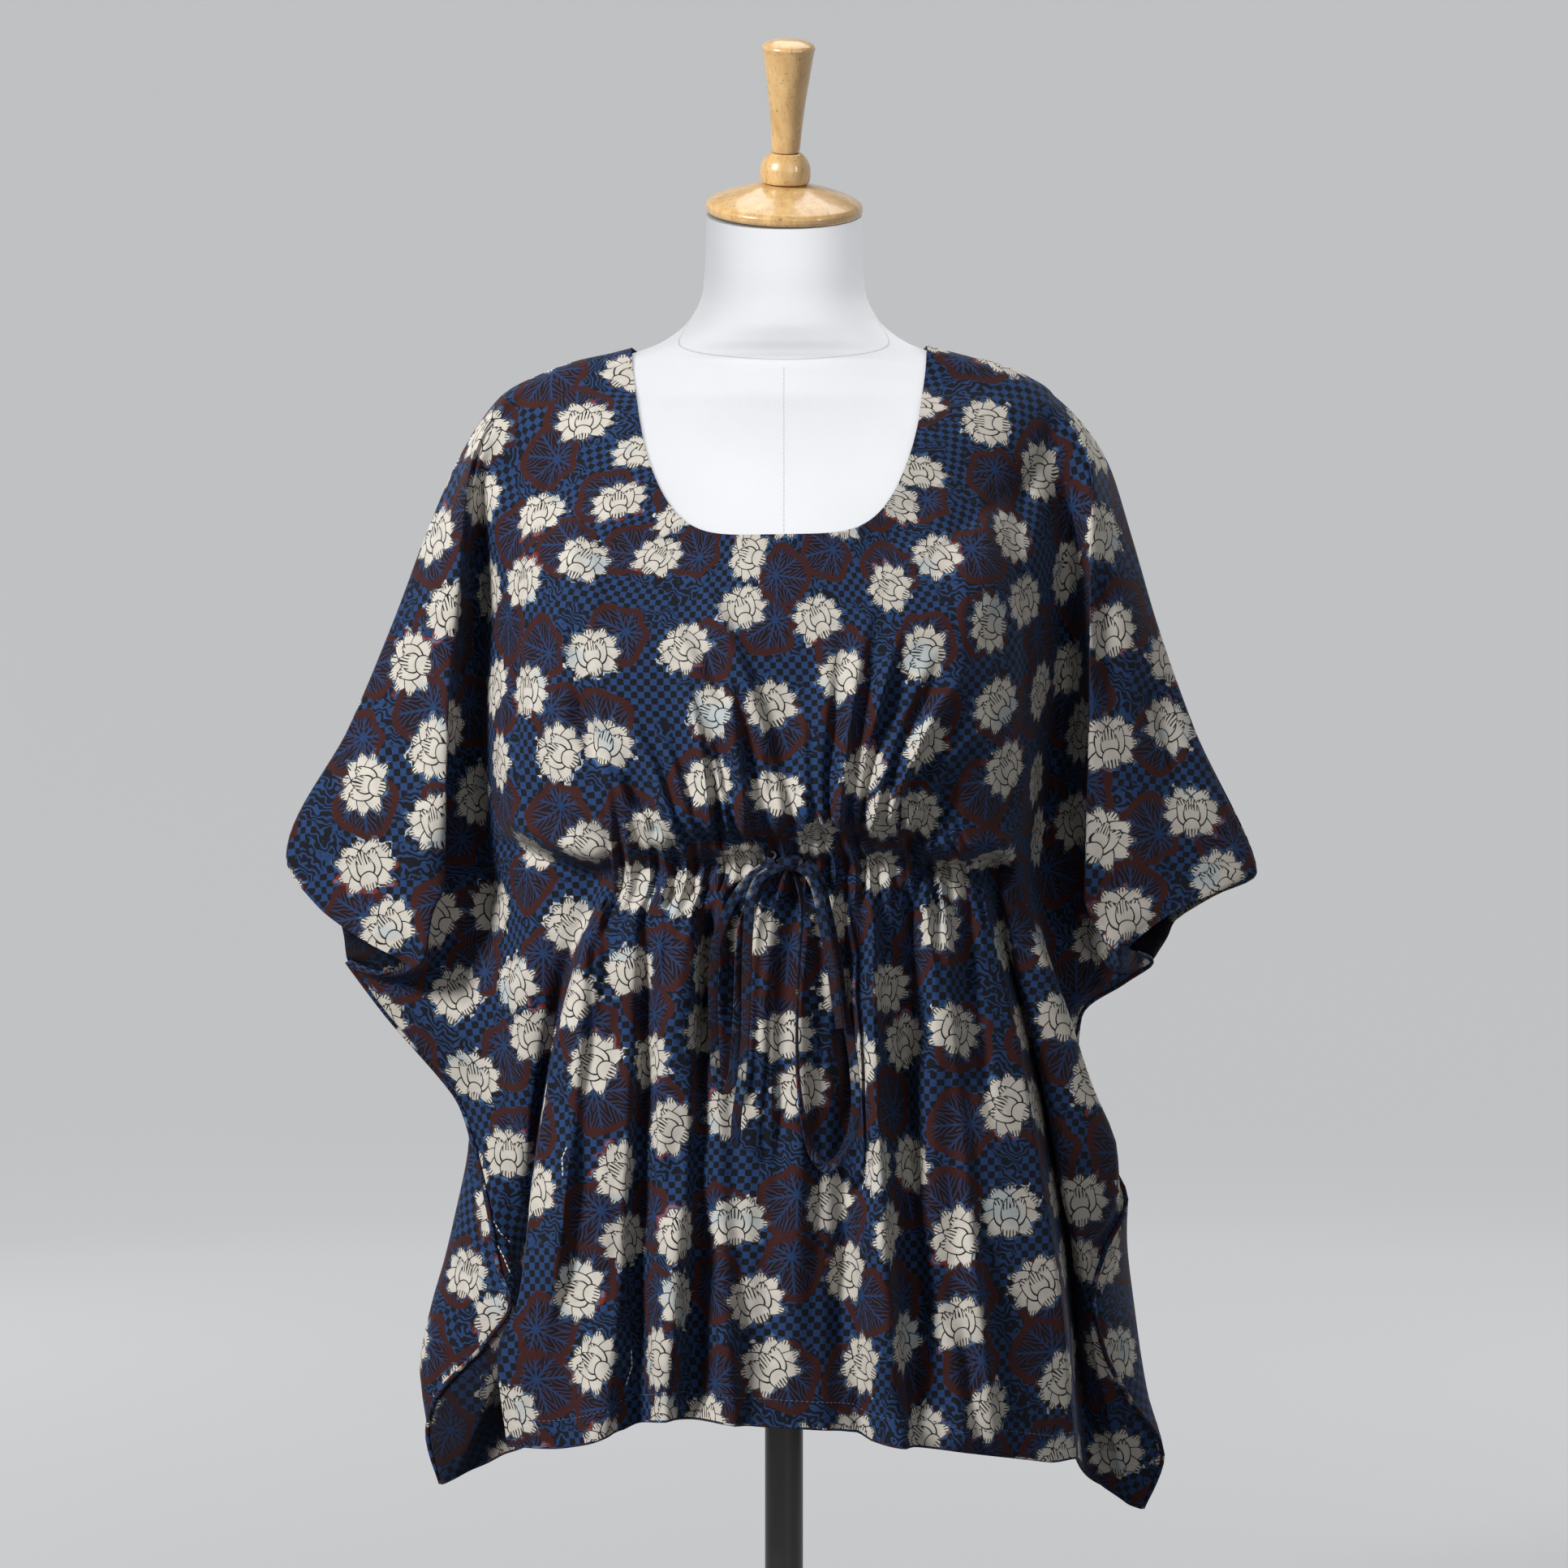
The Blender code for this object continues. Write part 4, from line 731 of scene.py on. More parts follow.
def parts(socket):
    """A place's or a colour's three coordinates."""
    made = Number.tree.nodes.new("ShaderNodeSeparateXYZ")
    feed(made.inputs[0], socket)
    return [Number(out) for out in made.outputs]


def noise(place, scale, detail=1.0, rough=0.5):
    """Three independent noises of about 0.3 to 0.7, one in each of the colour's parts."""
    made = Number.tree.nodes.new("ShaderNodeTexNoise")
    feed(made.inputs["Vector"], place)
    made.inputs["Scale"].default_value = scale
    made.inputs["Detail"].default_value = detail
    made.inputs["Roughness"].default_value = rough
    return parts(made.outputs["Color"])


def scatter(u, v, size, jitter):
    """The nearest point of a jittered lattice: the way to it, in lattice sizes, and its luck."""
    made = Number.tree.nodes.new("ShaderNodeTexVoronoi")
    made.voronoi_dimensions = "2D"
    made.inputs["Scale"].default_value = 1.0
    made.inputs["Randomness"].default_value = jitter
    x, y = u / size, v / size
    feed(made.inputs["Vector"], vector(x, y))
    px, py, _ = parts(made.outputs["Position"])
    return x - px, y - py, parts(made.outputs["Color"])


def blend(amount, under, over):
    """A straight mix of two colours: under at 0, over at 1."""
    made = Number.tree.nodes.new("ShaderNodeMix")
    made.data_type = "RGBA"
    feed(made.inputs[0], amount)
    for slot, value in ((made.inputs[6], under), (made.inputs[7], over)):
        feed(slot, (*value, 1.0) if isinstance(value, tuple) else value)
    return made.outputs[2]


def turned_by(x, y, angle):
    """The same place in axes turned by an angle."""
    c, s = cosine(angle), sine(angle)
    return x * c + y * s, y * c - x * s


def new_material(name):
    """A material, which new numbers are worked out in from now on, and its shader."""
    made = bpy.data.materials.new(name)
    made.use_nodes = True
    Number.tree = made.node_tree
    return made, made.node_tree.nodes["Principled BSDF"]


def cloth_place():
    """The place on the unwrapped cloth, in metres."""
    made = Number.tree.nodes.new("ShaderNodeUVMap")
    made.uv_map = "cloth"
    return made.outputs[0]


def object_place():
    """The place on the object, in metres."""
    return Number.tree.nodes.new("ShaderNodeTexCoord").outputs["Object"]


def bump(height, strength, distance):
    """The shader's normal, tilted by a relief of so many metres times its strength."""
    made = Number.tree.nodes.new("ShaderNodeBump")
    made.inputs["Strength"].default_value = strength
    made.inputs["Distance"].default_value = distance
    feed(made.inputs["Height"], height)
    return made.outputs["Normal"]


# ---------------------------------------------------------------- the block print

CHECK_PITCH = 0.005        # metres of cloth, as the next four are
LOTUS_SPACING = 0.0625
LOTUS_RADIUS = 0.0235
LEAF_SPACING = 0.062
LEAF_RADIUS = 0.0270
LEAF_VEINS = 9
THREAD_PITCH = 0.00045     # metres
WANDER_SCALE = 110.0       # noise a metre that the print's lines wander by,
WANDER = 0.0016            # and how many metres the check's lines do
PATCH_SCALE = 26.0         # noise a metre that lays out patches of scribble and bare cloth
SCRIBBLE_WAVES = 900.0     # radians a metre
LATTICE_TURN = (0.97, 0.24)  # cosine and sine of the turn of the lotuses' lattice
LOTUS_SQUASH = 1.08        # how much wider than high a lotus is

INDIGO = (0.0108, 0.033, 0.098)
PALE_INDIGO = (0.075, 0.17, 0.32)
BLACK_INK = (0.0034, 0.0040, 0.0078)
MAROON = (0.036, 0.0080, 0.0060)
GREIGE = (0.55, 0.51, 0.45)
RUST = (0.17, 0.020, 0.010)

# The lotus in lotus radii, back petals first: across, up, lean in degrees, half length,
# half width, how much the tip narrows, hatching strokes a radius, where they start.
LOTUS = (
    (0.00, 0.50, 0, 0.44, 0.36, 0.44, 11.0, 0.42),
    (0.33, 0.48, 30, 0.43, 0.31, 0.44, 11.0, 0.44),
    (0.56, 0.24, 58, 0.43, 0.29, 0.44, 11.0, 0.44),
    (0.58, -0.10, 92, 0.43, 0.26, 0.44, 11.0, 0.47),
    (0.42, -0.42, 132, 0.42, 0.27, 0.42, 11.0, 0.42),
    (0.24, 0.06, 22, 0.50, 0.30, 0.42, 10.0, 0.50),
    (0.00, 0.12, 0, 0.47, 0.28, 0.46, 10.0, -0.05),
    (0.00, -0.46, 180, 0.34, 0.30, 0.05, 10.0, 0.10),
)
LOTUS_LINE = 0.78          # share of a petal inside its inked outline


def lotus(x, y, wobble):
    """How far a place is under the lotus, under its ink, and how near its outside it is.

    Each petal is an egg on its own axis.  Ink lies along its rim and in strokes that run
    to its tip, and the strokes also cut into its outline, as a carved block's do.
    """
    beside = abs(x)
    cover, ink, near = 0.0, 0.0, 9.0
    for across, up, lean, length, width, taper, strokes, start in LOTUS:
        turn = math.radians(lean)
        dx, dy = beside - across, y - up
        along = dx * (math.sin(turn) / length) + dy * (math.cos(turn) / length)
        aside = dx * (math.cos(turn) / width) - dy * (math.sin(turn) / width)
        egg = aside / (1.0 - along * taper)
        egg = egg * egg + along * along
        stroke = cosine(aside * (width * strokes * 2 * math.pi) + wobble * 5.0)
        hatch = between(stroke, 0.18, 0.60) * between(along + wobble * 0.7, start, start + 0.12)
        outside = egg + hatch * 0.13
        inside = between(outside, 1.04, 0.96)
        line = larger(between(egg, LOTUS_LINE - 0.06, LOTUS_LINE + 0.04), hatch)
        cover = larger(inside, cover)
        ink = (line - ink) * inside + ink
        near = smaller(outside, near)
    return cover, ink, near


def leaf(x, y, wobble):
    """How far a place is under a lotus leaf, under its veins, and between its veins.

    The rim is a circle with lobes.  Veins run out from a point below the middle, and
    smaller ones leave them in a herringbone.
    """
    up = y + 0.30
    reach = root(x * x + up * up)
    angle = Number.work("ARCTAN2", x, up)
    rim = root(x * x + y * y) / (cosine(angle * 5.0 + 1.0) * 0.07 + 0.95 + wobble * 0.12)
    inside = between(rim, 1.0, 0.96)
    turn = angle * (LEAF_VEINS / (2 * math.pi))
    turn = abs(turn - Number.work("ROUND", turn))
    aside = turn * reach * (2 * math.pi / LEAF_VEINS)
    main = between(aside, 0.040, 0.020)
    herring = cosine((reach - aside * 1.7) * 34.0 + wobble * 9.0)
    open_part = between(rim + wobble * 0.25, 0.84, 0.70)
    veins = larger(main, between(herring, 0.66, 0.95)) * open_part
    gaps = between(herring, 0.55, -0.35) * open_part
    return inside, veins, gaps


def block_print(uv, shift=0.0, bloom=0.0):
    """The print's colour on a place of cloth in metres; few flowers with a bloom of 1.

    From the ground up: a check of rounded squares with patches of wavy scribble, leaves,
    stray red, the pale rim that bleeds round a flower, and the flowers with their ink.
    """
    u, v, _ = parts(uv)
    u = u + shift
    place = vector(u, v, shift)
    warp = noise(place, WANDER_SCALE, 1.0)
    patch = noise(place, PATCH_SCALE, 1.0)
    wander = warp[0] - 0.5
    wander_too = warp[1] - 0.5

    # ground: rounded black squares on indigo, or wavy scribble
    check_u = u + wander * WANDER
    check_v = v + wander_too * WANDER
    step = math.pi / CHECK_PITCH
    squares = between(sine(check_u * step) * sine(check_v * step), -0.03, 0.06)
    waves = sine((u * 0.6 + v) * SCRIBBLE_WAVES + wander * 26.0 + patch[2] * 40.0)
    scribble = between(waves, -0.45, -0.05)
    scribbled = between(patch[0], 0.50, 0.53)
    dark = (scribble - squares) * scribbled + squares

    # leaves
    lx, ly, luck = scatter(u + 0.031, v + 0.017, LEAF_SPACING, 0.55)
    lx, ly = turned_by(lx, ly, luck[0] * 5.0)
    grow = LEAF_SPACING / LEAF_RADIUS
    under_leaf, veins, gaps = leaf(lx * grow, ly * grow, wander)

    # lotuses
    c, s = LATTICE_TURN
    fx, fy, chance = scatter(u * c + v * s, v * c - u * s, LOTUS_SPACING, 0.5)
    fx, fy = turned_by(fx, fy, chance[0] * 1.9 - 0.95 + s)
    grow = LOTUS_SPACING / LOTUS_RADIUS
    cover, ink, near = lotus(fx * grow + wander * 0.05,
                             fy * (grow * LOTUS_SQUASH) + wander_too * 0.05, wander)
    if bloom:
        cover = cover * between(patch[1], 0.54, 0.60)
        near = near + bloom

    bare = between(near, 1.75, 1.6) * between(patch[1], 0.555, 0.575) * (1.0 - scribbled)
    halo = between(near, 1.75, 1.02) * between(warp[2], 0.36, 0.60)
    rust = between(near, 2.1, 1.6) * between(patch[2], 0.62, 0.66) * between(warp[2], 0.44, 0.52)

    fade = (patch[0] - 0.5) * 0.5 + 0.5
    ground = blend(fade, INDIGO, tuple(1.35 * c for c in INDIGO))
    ground = blend(bare, ground, GREIGE)
    ground = blend(dark, ground, BLACK_INK)
    leaves = blend(gaps, MAROON, BLACK_INK)
    leaves = blend(veins, leaves, INDIGO)
    colour = blend(under_leaf, ground, leaves)
    colour = blend(rust, colour, RUST)
    colour = blend(halo * 0.95 * (1.0 - dark), colour, PALE_INDIGO)
    white = blend(between(warp[1], 0.35, 0.7), GREIGE, tuple(0.86 * c for c in GREIGE))
    white = blend(between(patch[2], 0.40, 0.32) * 0.5, white, (0.30, 0.40, 0.46))
    white = blend(ink, white, BLACK_INK)
    colour = blend(cover, colour, white)
    return colour, u, v


def printed_cloth(name, shift=0.0, bloom=0.0, dull=0.0):
    """Matt cotton with the block print, and its weave and slubs as a fine relief.

    shift is the cloth's place on the bolt in metres, a bloom of 1 leaves few flowers, and
    dull mixes that much black ink over the colours.
    """
    made, shader = new_material(name)
    colour, u, v = block_print(cloth_place(), shift, bloom)
    if dull:
        colour = blend(dull, colour, BLACK_INK)
    feed(shader.inputs["Base Color"], colour)
    shader.inputs["Roughness"].default_value = 0.82
    shader.inputs["Specular IOR Level"].default_value = 0.16
    shader.inputs["Sheen Weight"].default_value = 0.03
    shader.inputs["Sheen Roughness"].default_value = 0.5
    thread = math.pi / THREAD_PITCH
    weave = sine(u * thread) * sine(v * thread)
    slub = noise(vector(u * 0.15, v), 700.0, 2.0)[0]
    feed(shader.inputs["Normal"], bump(weave * 0.35 + slub, 0.5, 0.00035))
    return made


# ---------------------------------------------------------------- cloth surfaces

def finer(values, steps):
    """The values, with each interval cut into so many equal parts."""
    values = np.asarray(values, float)
    cut = values[:-1, None] + np.diff(values)[:, None] * np.arange(steps) / steps
    return np.append(cut.ravel(), values[-1])


def grid_normals(points, side):
    """Unit normals of a grid, outwards: the cross product of its two middle steps."""
    normals = side * np.cross(np.gradient(points, axis=1), np.gradient(points, axis=0))
    return unit(normals)


def grid_faces(index):
    """The quads of a grid of vertex numbers, each from a corner and its three neighbours."""
    return np.stack((index[:-1, :-1], index[1:, :-1], index[1:, 1:], index[:-1, 1:]),
                    axis=-1).reshape(-1, 4)


def tube_faces(count, sides, inward=False):
    """Faces of so many rings joined into a tube, with both of its ends closed."""
    index = np.arange(count * sides).reshape(count, sides)
    faces = grid_faces(np.pad(index, ((0, 0), (0, 1)), mode="wrap")).tolist()
    faces += [index[0].tolist(), index[-1][::-1].tolist()]
    return [face[::-1] for face in faces] if inward else faces


def mesh_object(name, vertices, faces, look, uv=None, smooth_angle=70):
    """A mesh in millimetres as an object at the origin; uv has one place for each vertex."""
    mesh = bpy.data.meshes.new(name)
    faces = faces.tolist() if isinstance(faces, np.ndarray) else faces
    mesh.from_pydata((np.asarray(vertices, float) * MM).tolist(), [], faces)
    if uv is not None:
        layer = mesh.uv_layers.new(name="cloth")
        corner = np.empty(len(mesh.loops), dtype=np.int32)
        mesh.loops.foreach_get("vertex_index", corner)
        layer.data.foreach_set("uv", uv[corner].ravel().astype(np.float32))
    mesh.materials.append(look)
    mesh.shade_smooth()
    mesh.set_sharp_from_angle(angle=math.radians(smooth_angle))
    made = bpy.data.objects.new(name, mesh)
    bpy.context.scene.collection.objects.link(made)
    return made


def unwrapped(points):
    """The cloth laid flat: its own metres across and down, from the middle of the waist.

    A coarser grid is unwrapped with the least stretch, brought to the cloth's real size
    and turned upright, and the points between its rows and columns are interpolated.
    """
    rows, columns = points.shape[:2]
    at_rows = np.unique(np.append(np.arange(0, rows, UNWRAP_ROWS), rows - 1))
    at_columns = np.unique(np.append(np.arange(0, columns, UNWRAP_COLUMNS), columns - 1))
    coarse = points[np.ix_(at_rows, at_columns)]
    index = np.arange(coarse.shape[0] * coarse.shape[1]).reshape(coarse.shape[:2])
    mesh = bpy.data.meshes.new("flat_pattern")
    mesh.from_pydata((coarse.reshape(-1, 3) * MM).tolist(), [], grid_faces(index).tolist())
    mesh.uv_layers.new(name="cloth")
    helper = bpy.data.objects.new("flat_pattern", mesh)
    bpy.context.scene.collection.objects.link(helper)
    bpy.context.view_layer.objects.active = helper
    helper.select_set(True)
    bpy.ops.object.mode_set(mode="EDIT")
    bpy.ops.mesh.select_all(action="SELECT")
    bpy.ops.uv.unwrap(method="MINIMUM_STRETCH", margin=0)
    bpy.ops.object.mode_set(mode="OBJECT")
    flat = np.empty(2 * len(mesh.loops), dtype=np.float32)
    mesh.uv_layers[0].data.foreach_get("uv", flat)
    corner = np.empty(len(mesh.loops), dtype=np.int32)
    mesh.loops.foreach_get("vertex_index", corner)
    place = np.empty((index.size, 2))
    place[corner] = flat.reshape(-1, 2)
    place = place.reshape(coarse.shape[:2] + (2,))
    bpy.data.objects.remove(helper, do_unlink=True)
    bpy.data.meshes.remove(mesh)

    real = sum(np.linalg.norm(np.diff(coarse, axis=k), axis=-1).sum() for k in (0, 1)) * MM
    drawn = sum(np.linalg.norm(np.diff(place, axis=k), axis=-1).sum() for k in (0, 1))
    place *= real / drawn
    middle = coarse.shape[1] // 2
    down = place[-1, middle] - place[0, middle]
    down = down / np.linalg.norm(down)
    across = np.array((-down[1], down[0]))
    run = place[coarse.shape[0] // 2, -1] - place[coarse.shape[0] // 2, 0]
    across = across * np.sign(run @ across)
    waist = np.argmin(np.abs(coarse[:, middle, 2] - WAIST_HEIGHT))
    place = place - place[waist, middle]
    place = np.stack((place @ across, -(place @ down)), axis=-1)

    part_way = np.stack([np.stack([np.interp(np.arange(columns), at_columns, row)
                                   for row in place[..., k]]) for k in (0, 1)], axis=-1)
    row = np.arange(rows)
    low = np.clip(np.searchsorted(at_rows, row, side="right") - 1, 0, len(at_rows) - 2)
    t = ((row - at_rows[low]) / (at_rows[low + 1] - at_rows[low]))[:, None, None]
    return part_way[low] * (1 - t) + part_way[low + 1] * t


# Below the left side seam the skirt's wrong side shows, drawn with the wrong side's look
# and its painted shade: heights, and from where to where across.
SHADED_TURNED_OUT = (
    (228, -275, -196),
    (256, -275, -197),
    (270, -262, -199),
    (285, -249, -200),
    (300, -242, -200),
    (310, -233, -199),
    (324, -217, -197),
    (338, -201, -194),
    (350, -193, -192),
)


def shaded_turned_out(points):
    """Which faces of a cloth lie in the turned-out part of the skirt, painted dark as shade."""
    # These faces take the wrong side's look, which is darkened as painted shade.
    x, z = ((points[:-1, :-1, k] + points[1:, 1:, k]) / 2 for k in (0, 2))
    height, start, end = np.array(SHADED_TURNED_OUT, float).T
    return ((z < height[-1]) & (x > np.interp(z, height, start))
            & (x < np.interp(z, height, end))).ravel()


def cloth_shell(name, points, side, flat, look, shaded_reverse, turned=False):
    """A thin closed shell of cloth: its outside, its inside, and the edges between them.

    The inside lies the cloth's thickness along the inward normals.  It has the wrong
    side's look, the reverse print darkened with black ink as painted shade, and so have
    the turned faces of the outside.
    """
    inner = points - SHELL * grid_normals(points, side)
    rows, columns = points.shape[:2]
    index = np.arange(rows * columns).reshape(rows, columns)
    behind = index + rows * columns
    rims = [np.stack(k, axis=-1) for k in (
        (index[0, :-1], index[0, 1:], behind[0, 1:], behind[0, :-1]),
        (index[-1, :-1], behind[-1, :-1], behind[-1, 1:], index[-1, 1:]),
        (index[:-1, 0], behind[:-1, 0], behind[1:, 0], index[1:, 0]),
        (index[:-1, -1], index[1:, -1], behind[1:, -1], behind[:-1, -1]))]
    faces = np.concatenate([grid_faces(index), grid_faces(behind)[:, ::-1]] + rims)
    if side > 0:
        faces = faces[:, ::-1]
    vertices = np.concatenate((points.reshape(-1, 3), inner.reshape(-1, 3)))
    uv = np.concatenate((flat.reshape(-1, 2),) * 2)
    made = mesh_object(name, vertices, faces, look, uv)
    made.data.materials.append(shaded_reverse)
    outside = (rows - 1) * (columns - 1)
    slots = np.zeros(len(faces), dtype=np.int32)
    slots[:outside] = turned
    slots[outside:2 * outside] = 1
    made.data.polygons.foreach_set("material_index", slots)
    return made


WRONG_SIDE_SHADE = 0.6      # how much darker the print is on the cloth's inside: partly the reverse side's own dullness, partly painted shade for an inside that lies in shadow
BACK_SHIFT = 1.37          # metres between the two panels on the bolt of printed cloth
CREASE_GAIN = 1.8          # how much deeper the cloth's own creases are than their rows

# The cloth's own creases, beside the solids': across and height where each starts and
# ends, sideways bow, half width, depth (negative: a ridge), fades, and how far the
# half width is shared out to the viewer's left (+) or right (-), for a knife-edged fold.
FRONT_FINE_CREASES = (
    # the blousing over the drawstring, and the skirt's start below it
    (-112, 704, 104, 706, 3, 26, -4.5, 0.2, 0.2, 0.0),
    (-112, 679, 100, 680, 3, 7, -4, 0.15, 0.15, 0.0),
    (-120, 650, 108, 650, -4, 6, -2.5, 0.15, 0.15, 0.0),
    # the bodice hanging over the string at both sides, each with the hollow under it
    (-208, 702, -118, 664, 5, 9, -7, 0.12, 0.2, -0.45),
    (-206, 686, -120, 650, 5, 6, 7, 0.12, 0.2, 0.3),
    (82, 684, 168, 680, 9, 9, -8, 0.2, 0.15, -0.45),
    (86, 668, 166, 664, 9, 6, 8, 0.2, 0.15, 0.3),
    # the hollows beside the body, under the sleeves
    (-208, 672, -206, 580, 0, 16, 7, 0.3, 0.4, 0.0),
    (194, 800, 182, 640, 0, 15, 8, 0.25, 0.3, 0.0),
    # skirt pleats, each with its steep side away from the light
    (62, 655, 84, 262, 6, 13, -11, 0.1, 0.0, 0.65),
    (-64, 655, -84, 262, -6, 13, -11, 0.1, 0.0, 0.6),
    (-104, 655, -124, 262, -4, 11, -9, 0.1, 0.0, 0.6),
    (-138, 645, -172, 300, -6, 10, -7, 0.15, 0.3, 0.5),
    (-128, 655, -134, 540, 0, 4, -5, 0.1, 0.6, 0.3),
    (-84, 655, -92, 540, 0, 4, -5, 0.1, 0.6, 0.3),
    (-42, 655, -46, 530, 2, 5, -6, 0.1, 0.6, 0.3),
    (-28, 655, -26, 480, 0, 4, 5, 0.2, 0.6, 0.0),
    (-10, 655, -14, 380, -3, 6, -5, 0.15, 0.5, 0.4),
    (20, 655, 14, 330, 3, 9, -5, 0.15, 0.4, 0.3),
    (30, 655, 33, 560, 0, 4, -4, 0.1, 0.6, 0.3),
    (42, 655, 46, 470, 0, 5, 8, 0.2, 0.4, 0.0),
    (88, 655, 98, 500, 2, 5, 6, 0.15, 0.5, -0.3),
    (98, 655, 108, 560, 0, 4, -5, 0.1, 0.6, 0.3),
    (112, 650, 148, 262, 4, 11, -7, 0.15, 0.0, 0.5),
    (128, 645, 150, 470, 4, 5, 5, 0.2, 0.5, 0.0),
    (-40, 430, -34, 262, 0, 10, -6, 0.4, 0.0, 0.4),
    (38, 420, 40, 262, 2, 8, 6, 0.4, 0.0, 0.2),
    (118, 360, 126, 262, 0, 8, -5, 0.4, 0.0, 0.3),
    (-98, 380, -104, 262, 0, 6, 5, 0.4, 0.0, 0.0),
    # the deep valleys between the pleats
    (-50, 640, -57, 505, 2, 6, 8, 0.15, 0.3, 0.0),
    (-72, 570, -78, 400, 0, 11, 6, 0.3, 0.3, 0.2),
    (-94, 610, -101, 330, 0, 7, 6, 0.2, 0.2, 0.0),
    (47, 580, 60, 400, 2, 6, 6, 0.2, 0.3, 0.0),
    (86, 610, 102, 300, 3, 7, 7, 0.2, 0.2, 0.0),
    # bodice, drawn up and out from the drawstring
    (2, 680, -66, 880, 10, 8, -6, 0.1, 0.5, 0.4),
    (-16, 680, -96, 860, 10, 7, -4, 0.1, 0.6, 0.3),
    (-8, 680, -20, 770, 0, 4, -4, 0.1, 0.6, 0.2),
    (14, 680, 14, 800, 0, 5, -5, 0.1, 0.6, 0.2),
    (26, 680, 40, 850, -4, 7, -6, 0.1, 0.6, 0.5),
    (38, 680, 68, 870, -5, 6, -7, 0.1, 0.5, 0.5),
    (48, 679, 88, 846, -5, 5, -7, 0.1, 0.5, 0.5),
    (58, 677, 112, 824, -7, 6, -8, 0.1, 0.5, 0.5),
    (68, 675, 136, 810, -9, 6, -9, 0.1, 0.5, 0.5),
    (78, 673, 150, 768, -9, 5, -6, 0.1, 0.5, 0.4),
    (-26, 680, -46, 830, 3, 6, -6, 0.1, 0.6, 0.4),
    (-38, 680, -60, 780, 2, 4, -5, 0.1, 0.6, 0.3),
    (-50, 680, -76, 820, 4, 6, -6, 0.1, 0.6, 0.4),
    (-62, 679, -92, 770, 3, 4, -5, 0.1, 0.6, 0.3),
    (-74, 677, -122, 790, 6, 6, -6, 0.1, 0.6, 0.4),
    (-86, 674, -150, 752, 6, 5, -6, 0.1, 0.5, 0.3),
    (-96, 670, -172, 716, 6, 5, -6, 0.1, 0.4, 0.3),
    (-126, 712, -180, 846, 8, 7, 5, 0.3, 0.6, 0.3),
    (-150, 760, -172, 880, 6, 6, -4, 0.3, 0.6, 0.3),
    # shoulders and sleeves
    (-190, 860, -186, 720, 3, 7, 5, 0.4, 0.5, 0.3),
    (-222, 930, -236, 770, -4, 8, 5, 0.4, 0.5, 0.2),
    (-252, 850, -276, 700, -4, 10, 4, 0.4, 0.4, 0.2),
    (-240, 740, -262, 640, 0, 8, -4, 0.4, 0.4, 0.0),
    (166, 900, 172, 740, -4, 7, 5, 0.4, 0.5, -0.2),
    (226, 900, 240, 730, 4, 9, 5, 0.4, 0.5, -0.2),
    (262, 820, 288, 690, 4, 9, 5, 0.4, 0.4, -0.2),
    (240, 730, 262, 640, 0, 8, -4, 0.4, 0.4, 0.0),
    (-140, 960, -150, 800, 5, 9, -3, 0.4, 0.6, 0.2),
    (140, 950, 138, 810, -5, 9, -3, 0.4, 0.6, 0.2),
)
BACK_FINE_CREASES = (
    (-120, 706, 120, 706, 3, 26, -4, 0.2, 0.2, 0.0),
    (-120, 679, 120, 679, 3, 7, -4, 0.15, 0.15, 0.0),
    (-124, 650, 124, 650, -4, 6, -3, 0.15, 0.15, 0.0),
    (-92, 655, -104, 320, 3, 7, -8, 0.15, 0.3, 0.4),
    (-78, 655, -84, 258, 0, 7, 9, 0.15, 0.0, -0.3),
    (-52, 655, -50, 520, 2, 5, 6, 0.2, 0.5, 0.0),
    (-20, 655, -12, 400, -3, 7, -7, 0.15, 0.4, -0.3),
    (-4, 655, 2, 258, 0, 7, 8, 0.2, 0.0, 0.3),
    (28, 655, 32, 480, 0, 5, 6, 0.2, 0.5, 0.0),
    (62, 655, 72, 300, 2, 8, -8, 0.15, 0.3, 0.3),
    (76, 655, 90, 258, 0, 7, 9, 0.15, 0.0, -0.3),
    (104, 655, 122, 420, 4, 6, 6, 0.2, 0.5, 0.0),
    (-118, 660, -140, 470, 4, 6, 6, 0.2, 0.5, 0.0),
    (-16, 680, -40, 830, 4, 6, 5, 0.1, 0.7, 0.2),
    (4, 680, -8, 850, 0, 6, -5, 0.1, 0.7, 0.0),
    (24, 680, 44, 820, 2, 6, 5, 0.1, 0.7, -0.2),
    (54, 680, 82, 790, 3, 6, -5, 0.1, 0.7, 0.0),
    (-58, 680, -84, 800, 3, 6, -5, 0.1, 0.7, 0.0),
    (-72, 678, -104, 760, 3, 5, 6, 0.1, 0.6, 0.0),
    (70, 678, 104, 770, 3, 5, 6, 0.1, 0.6, 0.0),
    (-190, 900, -196, 740, 3, 9, 5, 0.4, 0.5, 0.2),
    (190, 900, 200, 740, 3, 9, 5, 0.4, 0.5, -0.2),
    (-232, 860, -250, 700, 3, 9, 5, 0.4, 0.4, 0.2),
    (232, 860, 254, 700, 3, 9, 5, 0.4, 0.4, -0.2),
    (-70, 960, -60, 860, 3, 10, 3, 0.4, 0.6, 0.0),
    (60, 960, 66, 860, 3, 10, 3, 0.4, 0.6, 0.0),
)


def fine_crease(points, side, row):
    """Press one of the cloth's own creases: a bell with two half widths, uneven in depth."""
    across, start, end = row[0], row[1], row[3]
    half_width, depth, lean = row[5], row[6], row[9]
    along, aside, past, strength = beside_crease(points, row)
    left = aside * (1 if end > start else -1) < 0
    width = half_width * np.where(left, 1 + lean, 1 - lean)
    uneven = 1 + 0.25 * np.sin(along / 31.0 + across) + 0.12 * np.sin(along / 13.0 + depth)
    bell = np.exp(-(aside / width) ** 2 - (past / half_width) ** 2)
    points[..., 1] -= side * CREASE_GAIN * depth * uneven * strength * bell


